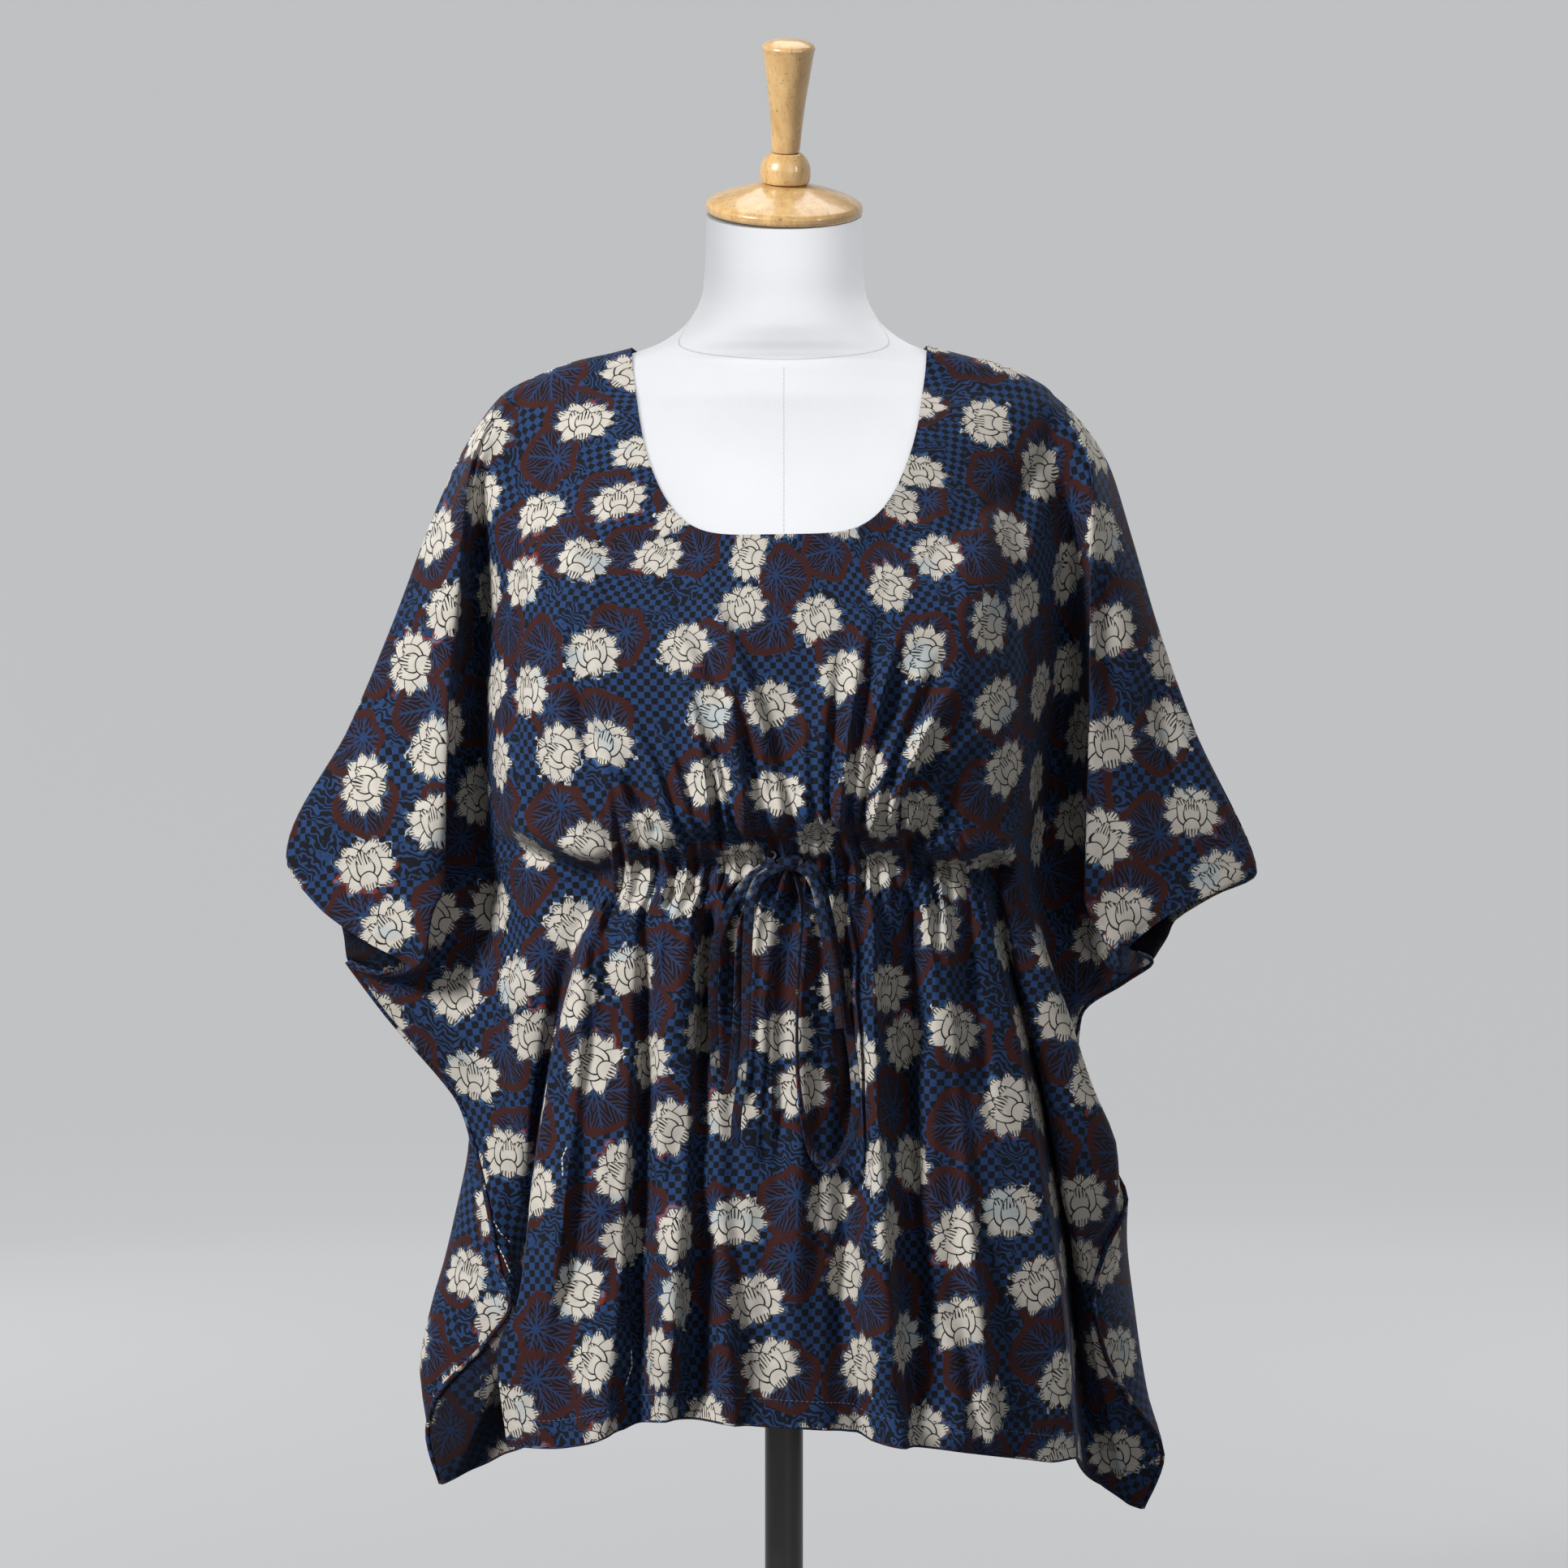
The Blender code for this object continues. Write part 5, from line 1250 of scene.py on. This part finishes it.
def tight_gathers(points, side, count, inner):
    """Small puckers close to the waist: a fast, uneven wave that dies off in 2 cm."""
    share = np.linspace(0, 1, points[:, inner].shape[1])[None]
    turn = 2 * np.pi * share
    near = np.exp(-((points[:, inner, 2] - WAIST_HEIGHT) / PUCKER_REACH) ** 2)
    uneven = share + 0.012 * np.sin(4.1 * turn) + 0.008 * np.sin(9.7 * turn)
    wave = np.sin(2 * np.pi * count * uneven)
    swell = 0.65 + 0.35 * np.sin(6.3 * turn + 2.0)
    points[:, inner, 1] += side * PUCKER_DEPTH * near * (0.7 + wave * swell)


def finished(points, side, creases, count, stations):
    """The panel, eased below the neck, with its creases and puckers, kept off the form."""
    eased = np.mean(neighbours(points[..., 1], 15), axis=0)
    row = np.arange(len(points))[:, None]
    share = np.interp(row, (ROW_STEPS * 0.8, ROW_STEPS * 2.2, ROW_STEPS * 7, ROW_STEPS * 10),
                      (0, 1, 1, 0))
    middle = np.arange(points.shape[1])[None]
    share = share * np.interp(np.minimum(middle, middle[:, ::-1]),
                              (len(stations) - 14, len(stations) + 4), (0, 1))
    points[..., 1] += (eased - points[..., 1]) * share
    free = points[:, SEWN_EDGE:-SEWN_EDGE]
    for row in creases:
        fine_crease(free, side, row)
    tight_gathers(points, side, count, slice(len(stations), -len(stations)))
    keep_off_form(free, side, FORM_MARGIN)
    return points


front_levels = finer(FRONT_LEVELS, ROW_STEPS)
back_levels = finer(BACK_LEVELS, ROW_STEPS)
front_stations = finer(FRONT_SIDE_STATIONS + (9,), SIDE_STEPS)
back_stations = finer(BACK_SIDE_STATIONS + (5,), SIDE_STEPS)
front_shares = np.linspace(0, 1, 2 * FRONT_GATHERS * MIDDLE_STEPS + 1)
back_shares = np.linspace(0, 1, 2 * BACK_GATHERS * MIDDLE_STEPS + 1)

front_points = panel(
    -1, front_levels, (LEFT_EDGE, RIGHT_EDGE),
    ((LEFT_SLEEVE_FOLD, LEFT_SLEEVE_TUCK, LEFT_RECESS, LEFT_SIDE, LEFT_WING,
      LEFT_VALLEY, LEFT_PLEAT),
     (RIGHT_SLEEVE_FOLD, RIGHT_SLEEVE_TUCK, RIGHT_RECESS, RIGHT_SIDE, RIGHT_WING,
      RIGHT_VALLEY, RIGHT_PLEAT)),
    FRONT_MIDDLE, front_stations, front_shares, FRONT_CREASES, FRONT_GATHERS)
back_points = panel(
    1, back_levels, (with_opening(LEFT_EDGE, LEFT_BACK_OPENING),
                     with_opening(RIGHT_EDGE, RIGHT_BACK_OPENING)),
    ((LEFT_BACK_FOLD, LEFT_BACK_RECESS, LEFT_BACK_SIDE, LEFT_BACK_PLEAT),
     (RIGHT_BACK_FOLD, RIGHT_BACK_RECESS, RIGHT_BACK_SIDE, RIGHT_BACK_PLEAT)),
    BACK_MIDDLE, back_stations, back_shares, BACK_CREASES, BACK_GATHERS)
front_points = finished(front_points, -1, FRONT_FINE_CREASES, FRONT_PUCKERS, front_stations)
back_points = finished(back_points, 1, BACK_FINE_CREASES, BACK_PUCKERS, back_stations)

# The wrong-side materials carry painted shade: the print with black ink mixed over it.
front_cloth = cloth_shell("kaftan_front", front_points, -1, unwrapped(front_points),
                          printed_cloth("block_print_front"),
                          printed_cloth("shaded_reverse_front", dull=WRONG_SIDE_SHADE),
                          shaded_turned_out(front_points))
back_cloth = cloth_shell("kaftan_back", back_points, 1, unwrapped(back_points),
                         printed_cloth("block_print_back", BACK_SHIFT),
                         printed_cloth("shaded_reverse_back", BACK_SHIFT, dull=WRONG_SIDE_SHADE))
for piece, node in ((front_cloth, "front_panel"), (back_cloth, "back_panel")):
    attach(piece, "root")
    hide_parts(node)


# ---------------------------------------------------------------- the drawstring

STRING_WIDTH = 7.0
STRING_THICKNESS = 1.7
STRING_CORNERS = 14        # points round its section,
STRING_SPACING = 2.2       # and millimetres between two sections
STRING_SQUARENESS = 0.55   # power that squares up the section's circle
STRING_ROOM = 4.0          # between the strand's middle line and the cloth behind it
KNOT_HALF_SIZE = (9.5, 4.6, 6.2)
KNOT_ROOM = 3.6
KNOT_RINGS, KNOT_SIDES = 25, 48


def cloth_depth(places):
    """The depth of the front cloth in front of places: that of its nearest point."""
    grid = front_points[:, len(front_stations):-len(front_stations)].reshape(-1, 3)
    apart = ((grid[:, None, 0] - places[None, :, 0]) ** 2
             + (grid[:, None, 2] - places[None, :, 2]) ** 2)
    return grid[np.argmin(apart, axis=0), 1]


def flat_string(name, route, twist, look):
    """A flat sewn tube along a route: a rounded slab carried on the curve's own frame.

    Its flat side faces the viewer, turned about the run by the twist at each share.
    """
    line = smooth_route(route, STRING_SPACING)
    depth = np.minimum(line[:, 1], cloth_depth(line) - STRING_ROOM)
    depth = np.min(neighbours(depth, 4), axis=0)
    for _ in range(2):
        depth = np.mean(neighbours(depth, 4), axis=0)
    line[:, 1] = depth
    run = unit(np.gradient(line, axis=0))
    across = unit(np.cross(run, np.array((0.0, 1.0, 0.0))))
    out = np.cross(run, across)
    share = np.linspace(0, 1, len(line))
    turn = np.radians(table_curve(twist, share)[:, 0])[:, None]
    wide = across * np.cos(turn) + out * np.sin(turn)
    thin = out * np.cos(turn) - across * np.sin(turn)
    angle = round_angles(STRING_CORNERS)
    c = rounded_box(np.cos(angle), STRING_SQUARENESS) * STRING_WIDTH / 2
    s = rounded_box(np.sin(angle), STRING_SQUARENESS) * STRING_THICKNESS / 2
    ring = line[:, None] + wide[:, None] * c[None, :, None] + thin[:, None] * s[None, :, None]
    faces = tube_faces(len(line), STRING_CORNERS, True)
    length = way_along(line)
    uv = grid_of(c[None] * MM, length[:, None] * MM).reshape(-1, 2)
    made = mesh_object(name, ring.reshape(-1, 3), faces, look, uv, 50)
    return made, line * MM, float(length[-1]) * MM


string_look = printed_cloth("block_print_string", 4.21, 1.0, 0.45)
# Each strand: its name, route, twist in degrees at shares of it, node, and far end.
STRINGS = (
    ("string_left_loop", LEFT_LOOP_ROUTE, ((0, 40), (0.1, 10), (0.5, -20), (0.7, 30), (1, 60)),
     "drawstring_left_loop", "object"),
    ("string_left_tail", LEFT_TAIL_ROUTE, ((0, 30), (0.3, 0), (0.7, 35), (1, -10)),
     "drawstring_left_tail", "bare"),
    ("string_right_loop", RIGHT_LOOP_ROUTE,
     ((0, -30), (0.1, 0), (0.3, 25), (0.5, 10), (0.62, 60), (0.75, 82), (0.9, 80), (1, 60)),
     "drawstring_right_loop", "object"),
    ("string_right_tail", RIGHT_TAIL_ROUTE, ((0, -30), (0.4, 10), (1, 40)),
     "drawstring_right_tail", "bare"),
)
for name, route, twist, node, end in STRINGS:
    strand, line, length = flat_string(name, route, twist, string_look)
    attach(strand, "root")
    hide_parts(node)


def knot():
    """The bow's knot: an ellipsoid with three wrapped turns pressed in, lumpy as cloth is."""
    around = round_angles(KNOT_SIDES)
    up = np.linspace(-1.5, 1.5, KNOT_RINGS)[:, None]
    lump = 1 + 0.07 * np.cos(6 * up + 1.5 * np.sin(around)) + 0.04 * np.sin(3 * around)
    wide, deep, high = KNOT_HALF_SIZE
    middle = np.array(STRING_MIDDLE, float)
    middle[1] = min(middle[1], cloth_depth(middle[None])[0] - KNOT_ROOM)
    place = grid_of(wide * np.sin(up) * lump, deep * np.cos(up) * np.cos(around) * lump,
                    high * np.cos(up) * np.sin(around) * lump) + middle
    uv = place[..., [0, 2]].reshape(-1, 2) * MM
    return mesh_object("string_knot", place.reshape(-1, 3),
                       tube_faces(KNOT_RINGS, KNOT_SIDES, True), string_look, uv)


bow_knot = knot()
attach(bow_knot, "root")
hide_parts("drawstring_knot")


# ---------------------------------------------------------------- the dress form

NECK_SEAM = 1.067          # metres up, at the middle of the neck
THROAT_HEIGHT = 1018       # the throat's filling: where it is, how deep, how far up
THROAT_DEPTH = 8           # and down it reaches
THROAT_REACH = 17


def jersey_look():
    """Off-white jersey: a fine knit, with the neck and centre-front seams drawn in.

    The neck's seam lies in a tilted plane, and the dashed middle seam ends below it.
    """
    made, shader = new_material("form_jersey_knit")
    place = object_place()
    x, y, z = parts(place)
    level = z - (y - 0.009) * 1.07
    neck = abs(level - NECK_SEAM)
    middle = larger(abs(x), between(y, -0.01, 0.0) * 0.01)
    middle = larger(middle, between(level, NECK_SEAM - 0.004, NECK_SEAM) * 0.01)
    dashes = between(sine(z * 1800.0), -0.6, 0.2) * 0.6 + 0.4
    seam = larger(between(neck, 0.0007, 0.0003), between(middle, 0.0006, 0.0002) * dashes)
    tone = noise(place, 9.0, 3.0)
    cloth = blend(between(tone[0], 0.3, 0.7), (0.67, 0.68, 0.70), (0.625, 0.635, 0.655))
    feed(shader.inputs["Base Color"], blend(seam * 0.55, cloth, (0.42, 0.42, 0.44)))
    shader.inputs["Roughness"].default_value = 0.78
    shader.inputs["Sheen Weight"].default_value = 0.15
    knit = noise(place, 1500.0, 2.0)[0]
    feed(shader.inputs["Normal"], bump(knit * 0.6 - seam * 1.2, 0.45, 0.0006))
    return made


def form_surface():
    """The torso and neck: at each height a section of superellipse form, tilted up the neck."""
    heights = finer([row[0] for row in FORM_SECTIONS], FORM_STEPS)
    table = table_curve(FORM_SECTIONS, heights)
    half, front, back, middle, tilt = (column[:, None] for column in table.T)
    angle = round_angles(FORM_SIDES)[None]
    power = 2 / np.interp(heights, (985, 1060), (FORM_ROUNDNESS, 2.0))[:, None]
    cos, sin = np.cos(angle), np.sin(angle)
    lean = np.radians(tilt)
    near_throat = np.exp(-((heights[:, None] - THROAT_HEIGHT) / THROAT_REACH) ** 2)
    throat = THROAT_DEPTH * near_throat * np.maximum(-sin, 0) ** 7
    out = np.where(sin < 0, front, back) * rounded_box(sin, power) - throat
    place = grid_of(half * rounded_box(cos, power), middle + out * np.cos(lean),
                    heights[:, None] + out * np.sin(lean))
    return mesh_object("form_body", place.reshape(-1, 3), tube_faces(*place.shape[:2], True),
                       jersey_look(), None, 45)


form_body = form_surface()
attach(form_body, "root")
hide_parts("form_torso")


def spun(name, profile, place, look):
    """A turned piece: a smooth profile of radius and height, carried round its axis."""
    rows = np.asarray(profile, float)
    t = np.linspace(0, len(rows) - 1, 6 * len(rows))
    table = np.concatenate((np.arange(len(rows))[:, None], rows), axis=1)
    radius, height = table_curve(table, t)[1:-1, :, None].transpose(1, 0, 2)
    angle = round_angles(TURNED_SIDES)
    ring = grid_of(radius * np.cos(angle), radius * np.sin(angle), height).reshape(-1, 3)
    homogeneous = np.concatenate((ring * MM, np.ones((len(ring), 1))), axis=1)
    moved = (homogeneous @ np.array(place).T)[:, :3] / MM
    faces = tube_faces(len(radius), TURNED_SIDES, True)
    return mesh_object(name, moved, faces, look, None, 35)


def wood_look():
    """Clear-varnished pale wood: streaks along the grain, pores and small dark nicks."""
    made, shader = new_material("varnished_grain")
    place = object_place()
    x, y, z = parts(place)
    grain = noise(vector(x * 6.0, y * 6.0, z), 22.0, 3.0, 0.6)
    fleck = noise(vector(x * 3.0, y * 3.0, z), 160.0, 2.0, 0.6)
    colour = blend(between(grain[0], 0.3, 0.7), (0.68, 0.45, 0.19), (0.52, 0.30, 0.11))
    colour = blend(between(fleck[0], 0.58, 0.72) * 0.6, colour, (0.33, 0.155, 0.045))
    colour = blend(between(fleck[1], 0.67, 0.71) * 0.7, colour, (0.08, 0.05, 0.03))
    feed(shader.inputs["Base Color"], colour)
    shader.inputs["Roughness"].default_value = 0.34
    shader.inputs["Coat Weight"].default_value = 0.7
    shader.inputs["Coat Roughness"].default_value = 0.12
    feed(shader.inputs["Normal"], bump(grain[0] + fleck[0] * 0.4, 0.25, 0.0006))
    return made


def enamel_look():
    """Black enamel paint: a fine orange peel, and a tone that wanders a little."""
    made, shader = new_material("black_enamel_paint")
    place = object_place()
    peel = noise(place, 420.0, 2.0)[0]
    tone = noise(place, 30.0, 3.0)[0]
    feed(shader.inputs["Base Color"], blend(between(tone, 0.3, 0.7), (0.010, 0.010, 0.011),
                                            (0.018, 0.018, 0.019)))
    shader.inputs["Roughness"].default_value = 0.36
    feed(shader.inputs["Normal"], bump(peel, 0.15, 0.0004))
    return made


wood, enamel = wood_look(), enamel_look()
neck_frame = (Matrix.Translation(Vector((0, NECK_TOP_Y, NECK_TOP_Z)) * MM)
              @ Matrix.Rotation(math.radians(NECK_TILT), 4, "X")
              @ Matrix.Rotation(math.radians(FINIAL_LEAN), 4, "Y"))
# Each turned piece: its name, node, frame, look, slot, and profile as radius and height.
TURNED = (
    ("wooden_cap", "neck_cap", neck_frame, wood, "varnished_wood",
     ((0, 1.7), (54.5, 1.7), (56.4, 2.6), (57, 4.5), (57, 6.5), (55.6, 9), (48, 13), (38, 16.5),
      (28, 19.5), (19, 22), (12, 23.4), (0, 23.5))),
    ("wooden_bead", "finial_bead", neck_frame, wood, "varnished_wood",
     ((0, 23.8), (16.4, 23.9), (18.0, 25), (18.5, 29), (18.3, 34), (16.9, 38.5),
      (13.8, 43), (10.5, 45.4), (0, 45.5))),
    ("wooden_finial", "finial", neck_frame, wood, "varnished_wood",
     ((0, 45.8), (9.5, 45.9), (10.2, 48), (11.2, 61), (13.2, 81), (16, 101),
      (18.6, 118.5), (19.2, 121), (18.4, 123), (13, 126), (7, 127.4), (0, 127.8))),
    ("stand_pole", "pole", Matrix.Identity(4), enamel, "black_enamel",
     ((0, 18.3), (13.4, 18.3), (13.8, 18.8), (13.8, 120), (13.8, 300), (13.8, 439.2),
      (13.4, 439.7), (0, 439.7))),
    ("stand_base", "base", Matrix.Identity(4), enamel, "black_enamel",
     ((0, 0), (196, 0), (198.6, 0.8), (200, 3), (200, 8), (198.6, 10.6), (196, 12), (130, 15.2),
      (60, 17.8), (0, 18))),
)
for name, node, place, look, slot_name, profile in TURNED:
    piece = spun(name, profile, place, look)
    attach(piece, "root")
    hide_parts(node)


# ---------------------------------------------------------------- stitches and eyelets

def line_beside_hem(points, distance):
    """The line on a panel that lies so far above its hem, measured up the cloth."""
    upwards = points[::-1]
    run = np.linalg.norm(np.diff(upwards, axis=0), axis=-1).cumsum(axis=0)
    run = np.concatenate((np.zeros_like(run[:1]), run))
    above = np.argmax(run > distance, axis=0)[None]
    low = np.take_along_axis(run, above - 1, axis=0)
    high = np.take_along_axis(run, above, axis=0)
    t = ((distance - low) / (high - low))[..., None]
    start = np.take_along_axis(upwards, (above - 1)[..., None], axis=0)
    end = np.take_along_axis(upwards, above[..., None], axis=0)
    return (start + (end - start) * t)[0]


STITCH_RINGS, STITCH_SIDES = 5, 6
WELT_SIDES = 10
SEAM_START = 7.3           # the level below the underarm where the side seams start
HEM_TURN = 19.0            # millimetres from the hem up to its stitches
HEM_STITCH = (2.6, 1.1, 0.75)
TACK_STITCH = (3.2, 0.5, 1.0)


def thread_look(name, colour):
    """Sewing thread: its colour, darker in patches, with a twisted relief."""
    made, shader = new_material(name)
    place = object_place()
    tone = noise(place, 900.0, 2.0)[0]
    feed(shader.inputs["Base Color"], blend(between(tone, 0.3, 0.7), colour,
                                            tuple(0.6 * c for c in colour)))
    shader.inputs["Roughness"].default_value = 0.7
    feed(shader.inputs["Normal"], bump(tone, 0.4, 0.0003))
    return made


def stitches(name, line, normal, length, gap, width, look):
    """Sewing-machine stitches: a row of short rounded bars, their ends sunk in the cloth."""
    run = way_along(line)
    starts = np.arange(gap, run[-1] - length, length + gap)
    share = np.array((0.0, 0.15, 0.5, 0.85, 1.0))
    lift = np.array((-0.25, 0.16, 0.26, 0.16, -0.25))
    size = np.array((0.25, 0.9, 1.0, 0.9, 0.25)) * width / 2
    at = starts[:, None] + length * share
    centre = points_at(at, run, line)
    out = unit(points_at(at, run, normal))
    forward = unit(np.gradient(centre, axis=1))
    across = unit(np.cross(forward, out))
    angle = round_angles(STITCH_SIDES)
    ring = (centre + out * lift[:, None])[:, :, None] + size[None, :, None, None] * (
        across[:, :, None] * np.cos(angle)[:, None] + out[:, :, None] * np.sin(angle)[:, None])
    index = np.arange(ring.size // 3).reshape(len(starts), STITCH_RINGS, STITCH_SIDES)
    around = np.pad(index, ((0, 0), (0, 0), (0, 1)), mode="wrap")
    faces = np.stack((around[:, :-1, :-1], around[:, 1:, :-1], around[:, 1:, 1:],
                      around[:, :-1, 1:]), axis=-1).reshape(-1, 4).tolist()
    faces += index[:, 0].tolist() + index[:, -1, ::-1].tolist()
    made = mesh_object(name, ring.reshape(-1, 3), faces, look, None, 60)
    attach(made, "root")


def welt(name, line, out, width, thickness, proud, look):
    """A turned edge or seam: an oval carried along a line of the cloth, standing proud."""
    run = unit(np.gradient(line, axis=0))
    across = unit(np.cross(run, out))
    out = np.cross(across, run)
    angle = round_angles(WELT_SIDES)
    place = np.arange(len(line))
    taper = np.minimum(1, np.minimum(place, place[::-1]) * 0.3 + 0.4)
    ring = (line + out * proud)[:, None] + taper[:, None, None] * (
        across[:, None] * (np.cos(angle) * width / 2)[None, :, None]
        + out[:, None] * (np.sin(angle) * thickness / 2)[None, :, None])
    uv = grid_of(np.cos(angle)[None] * width / 2 * MM, way_along(line)[:, None] * MM)
    made = mesh_object(name, ring.reshape(-1, 3), tube_faces(len(line), WELT_SIDES), look,
                       uv.reshape(-1, 2), 80)
    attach(made, "root")


navy_thread = thread_look("navy_sewing_thread", (0.05, 0.09, 0.19))
white_thread = thread_look("white_tacking_thread", (0.72, 0.72, 0.70))
front_out = grid_normals(front_points, -1)
back_out = grid_normals(back_points, 1)
# The turned hems, and the side seams' thick edges from the underarm to the hem.
edge_look = printed_cloth("block_print_edges", 6.43, 1.0)
front_underarm = int(np.argmax(front_levels >= SEAM_START))
for part, points, out in (("front", front_points, front_out), ("back", back_points, back_out)):
    welt(f"hem_edge_{part}", points[-1], out[-2], 1.8, 1.4, -SHELL / 2, edge_look)
for hand, column in (("left", 0), ("right", -1)):
    seam = front_points[front_underarm:, column]
    seam_out = front_out[front_underarm:, column]
    welt(f"side_seam_{hand}", seam, seam_out, 3.4, 2.8, 0.9, edge_look)

for part, points, out, stations in (("front", front_points, front_out, front_stations),
                                    ("back", back_points, back_out, back_stations)):
    middle = slice(len(stations) - SEWN_EDGE, SEWN_EDGE - len(stations))
    stitches(f"hem_stitches_{part}", line_beside_hem(points, HEM_TURN)[middle],
             out[-4, middle], *HEM_STITCH, navy_thread)


def on_front(places):
    """Places given as across and height, on the nearest points of the front cloth.

    Cloth that lies far back, behind a fold, counts as farther away.
    """
    places = np.asarray(places, float)
    grid = front_points.reshape(-1, 3)
    apart = ((grid[:, None, 0] - places[None, :, 0]) ** 2
             + (grid[:, None, 2] - places[None, :, 1]) ** 2)
    near = np.argmin(apart + (grid[:, None, 1] + 20).clip(0) ** 2, axis=0)
    return grid[near], front_out.reshape(-1, 3)[near]


# White tacks left in the left side seam and on the skirt, as across and height.
WHITE_TACKS = (
    ((-209, 407), (-203, 399), (-197, 393)),
    ((-206, 392), (-200, 381), (-196, 371)),
    ((-153, 471), (-154, 459), (-155, 448)),
    ((-107, 326), (-108, 314), (-110, 303)),
)
for number, tack in enumerate(WHITE_TACKS, 1):
    line, out = on_front(tack)
    stitches(f"white_tack_{number}", line, out, *TACK_STITCH, white_thread)


EYELET_RADIUS = 3.3
EYELET_TURNS = 24
EYELET_RINGS, EYELET_SIDES = 10, 72


def eyelet(name, across, height):
    """A worked eyelet: a slightly flat ring whose tube swells at each turn of the thread."""
    line, _ = on_front(((across, height),))
    around = round_angles(EYELET_SIDES)
    tube = round_angles(EYELET_RINGS)[:, None]
    turns = 1 + 0.16 * np.cos(EYELET_TURNS * around)
    reach = EYELET_RADIUS + 0.95 * turns * np.cos(tube)
    place = grid_of(reach * np.cos(around), -0.8 * turns * np.sin(tube),
                    0.8 * reach * np.sin(around)) + line[0] + np.array((0, -0.6, 0))
    index = np.arange(EYELET_RINGS * EYELET_SIDES).reshape(EYELET_RINGS, EYELET_SIDES)
    faces = grid_faces(np.pad(index, ((0, 1), (0, 1)), mode="wrap"))[:, ::-1]
    made = mesh_object(name, place.reshape(-1, 3), faces, grey_thread, None, 80)
    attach(made, "root")


grey_thread = thread_look("grey_eyelet_thread", (0.16, 0.18, 0.22))
eyelet("eyelet_left", -10.2, 672.4)
eyelet("eyelet_right", 8.0, 670.8)


# ---------------------------------------------------------------- studio

FLOOR_RADIUS = 5500        # millimetres
FLOOR_BEND = 1800
WALL_TOP = 6000


def studio_sweep():
    """A round floor that curves up into a wall, so that every view ends on it: dark grey
    paper made pale by a glow, which is painted light.
    """
    arc = np.linspace(0, np.pi / 2, 13)
    rows = np.concatenate((((0.001, 0),),
                           np.stack((FLOOR_RADIUS + FLOOR_BEND * np.sin(arc),
                                     FLOOR_BEND * (1 - np.cos(arc))), axis=1),
                           ((FLOOR_RADIUS + FLOOR_BEND, WALL_TOP),)))
    angle = round_angles(TURNED_SIDES)
    place = grid_of(rows[:, :1] * np.cos(angle), rows[:, :1] * np.sin(angle), rows[:, 1:] - 0.5)
    index = np.arange(place.size // 3).reshape(-1, TURNED_SIDES)
    faces = grid_faces(np.pad(index, ((0, 0), (0, 1)), mode="wrap")).tolist()
    faces.append(index[0].tolist())
    made, shader = new_material("glowing_studio_paper")
    tone = noise(object_place(), 0.6, 2.0)[0]
    feed(shader.inputs["Base Color"], blend(between(tone, 0.3, 0.7), (0.155, 0.155, 0.155),
                                            (0.145, 0.145, 0.145)))
    shader.inputs["Roughness"].default_value = 0.95
    # The paper's glow is painted light standing in for light falling on it, stronger further out
    # from the middle.
    shader.inputs["Emission Color"].default_value = (0.97, 0.98, 1.0, 1.0)
    x, y, _ = parts(object_place())
    away = between(root(x * x + y * y), 0.5, 4.0)
    feed(shader.inputs["Emission Strength"], away * 0.17 + 0.32)
    return mesh_object("studio_floor", place.reshape(-1, 3), faces, made, None, 80)


sweep = studio_sweep()
sweep.visible_diffuse = False


def soft_light(name, place, aim, size, power, state=None, pieces=()):
    """An area light; some pieces can be left out of it, or be all that it lights."""
    lamp = bpy.data.lights.new(name, "AREA")
    lamp.shape = "RECTANGLE"
    lamp.size, lamp.size_y = size
    lamp.energy = power
    made = bpy.data.objects.new(name, lamp)
    made.location = place
    made.rotation_euler = (Vector(aim) - Vector(place)).to_track_quat("-Z", "Y").to_euler()
    bpy.context.scene.collection.objects.link(made)
    if state:
        chosen = bpy.data.collections.new(name)
        for piece in pieces:
            chosen.objects.link(bpy.data.objects[piece])
        for member in chosen.collection_objects:
            member.light_linking.link_state = state
        made.light_linking.receiver_collection = chosen


# Each light: its name, place, aim, size and watts, and which pieces it leaves or lights.
FORM = ("form_body",)
WOODEN = ("wooden_cap", "wooden_bead", "wooden_finial")
soft_light("key", (-2.6, -2.3, 2.4), (0, 0, 0.75), (0.8, 1.0), 192, "EXCLUDE", FORM)
soft_light("form_light", (-0.6, -3.1, 1.7), (0, 0, 1.0), (2.6, 2.6), 134, "INCLUDE", FORM)
soft_light("strip", (2.4, -1.9, 1.5), (0, 0, 1.2), (0.16, 1.5), 16, "INCLUDE", WOODEN)
soft_light("fill", (1.4, -3.2, 1.2), (0, 0, 0.75), (1.6, 2.0), 14)
soft_light("top", (0.2, 0.5, 3.2), (0, 0, 0.8), (2.0, 2.0), 30)
soft_light("back_right", (2.6, 2.2, 2.0), (0, 0, 0.75), (1.6, 2.0), 62, "EXCLUDE", WOODEN)
soft_light("back_left", (-2.2, 2.8, 1.8), (0, 0, 0.75), (1.6, 2.0), 46, "EXCLUDE", WOODEN)
world = bpy.data.worlds.new("studio_air")
world.use_nodes = True
background = world.node_tree.nodes["Background"]
background.inputs["Color"].default_value = (0.92, 0.95, 1.0, 1.0)
background.inputs["Strength"].default_value = 0.125
bpy.context.scene.world = world

VIEW_DISTANCE = 3.5
VIEW_HEIGHT = 0.722
VIEW_WIDTH = 1932 / 1700   # metres across the picture, where the garment hangs
SENSOR = 36.0              # millimetres
camera_data = bpy.data.cameras.new("photo_view")
camera_data.sensor_width = SENSOR
camera_data.lens = SENSOR * VIEW_DISTANCE / VIEW_WIDTH
camera_data.clip_end = 100.0
camera = bpy.data.objects.new("photo_view", camera_data)
camera.location = (0, -VIEW_DISTANCE, VIEW_HEIGHT)
camera.rotation_euler = (math.pi / 2, 0, 0)
bpy.context.scene.collection.objects.link(camera)
bpy.context.scene.camera = camera
bpy.context.scene.view_settings.view_transform = "Standard"
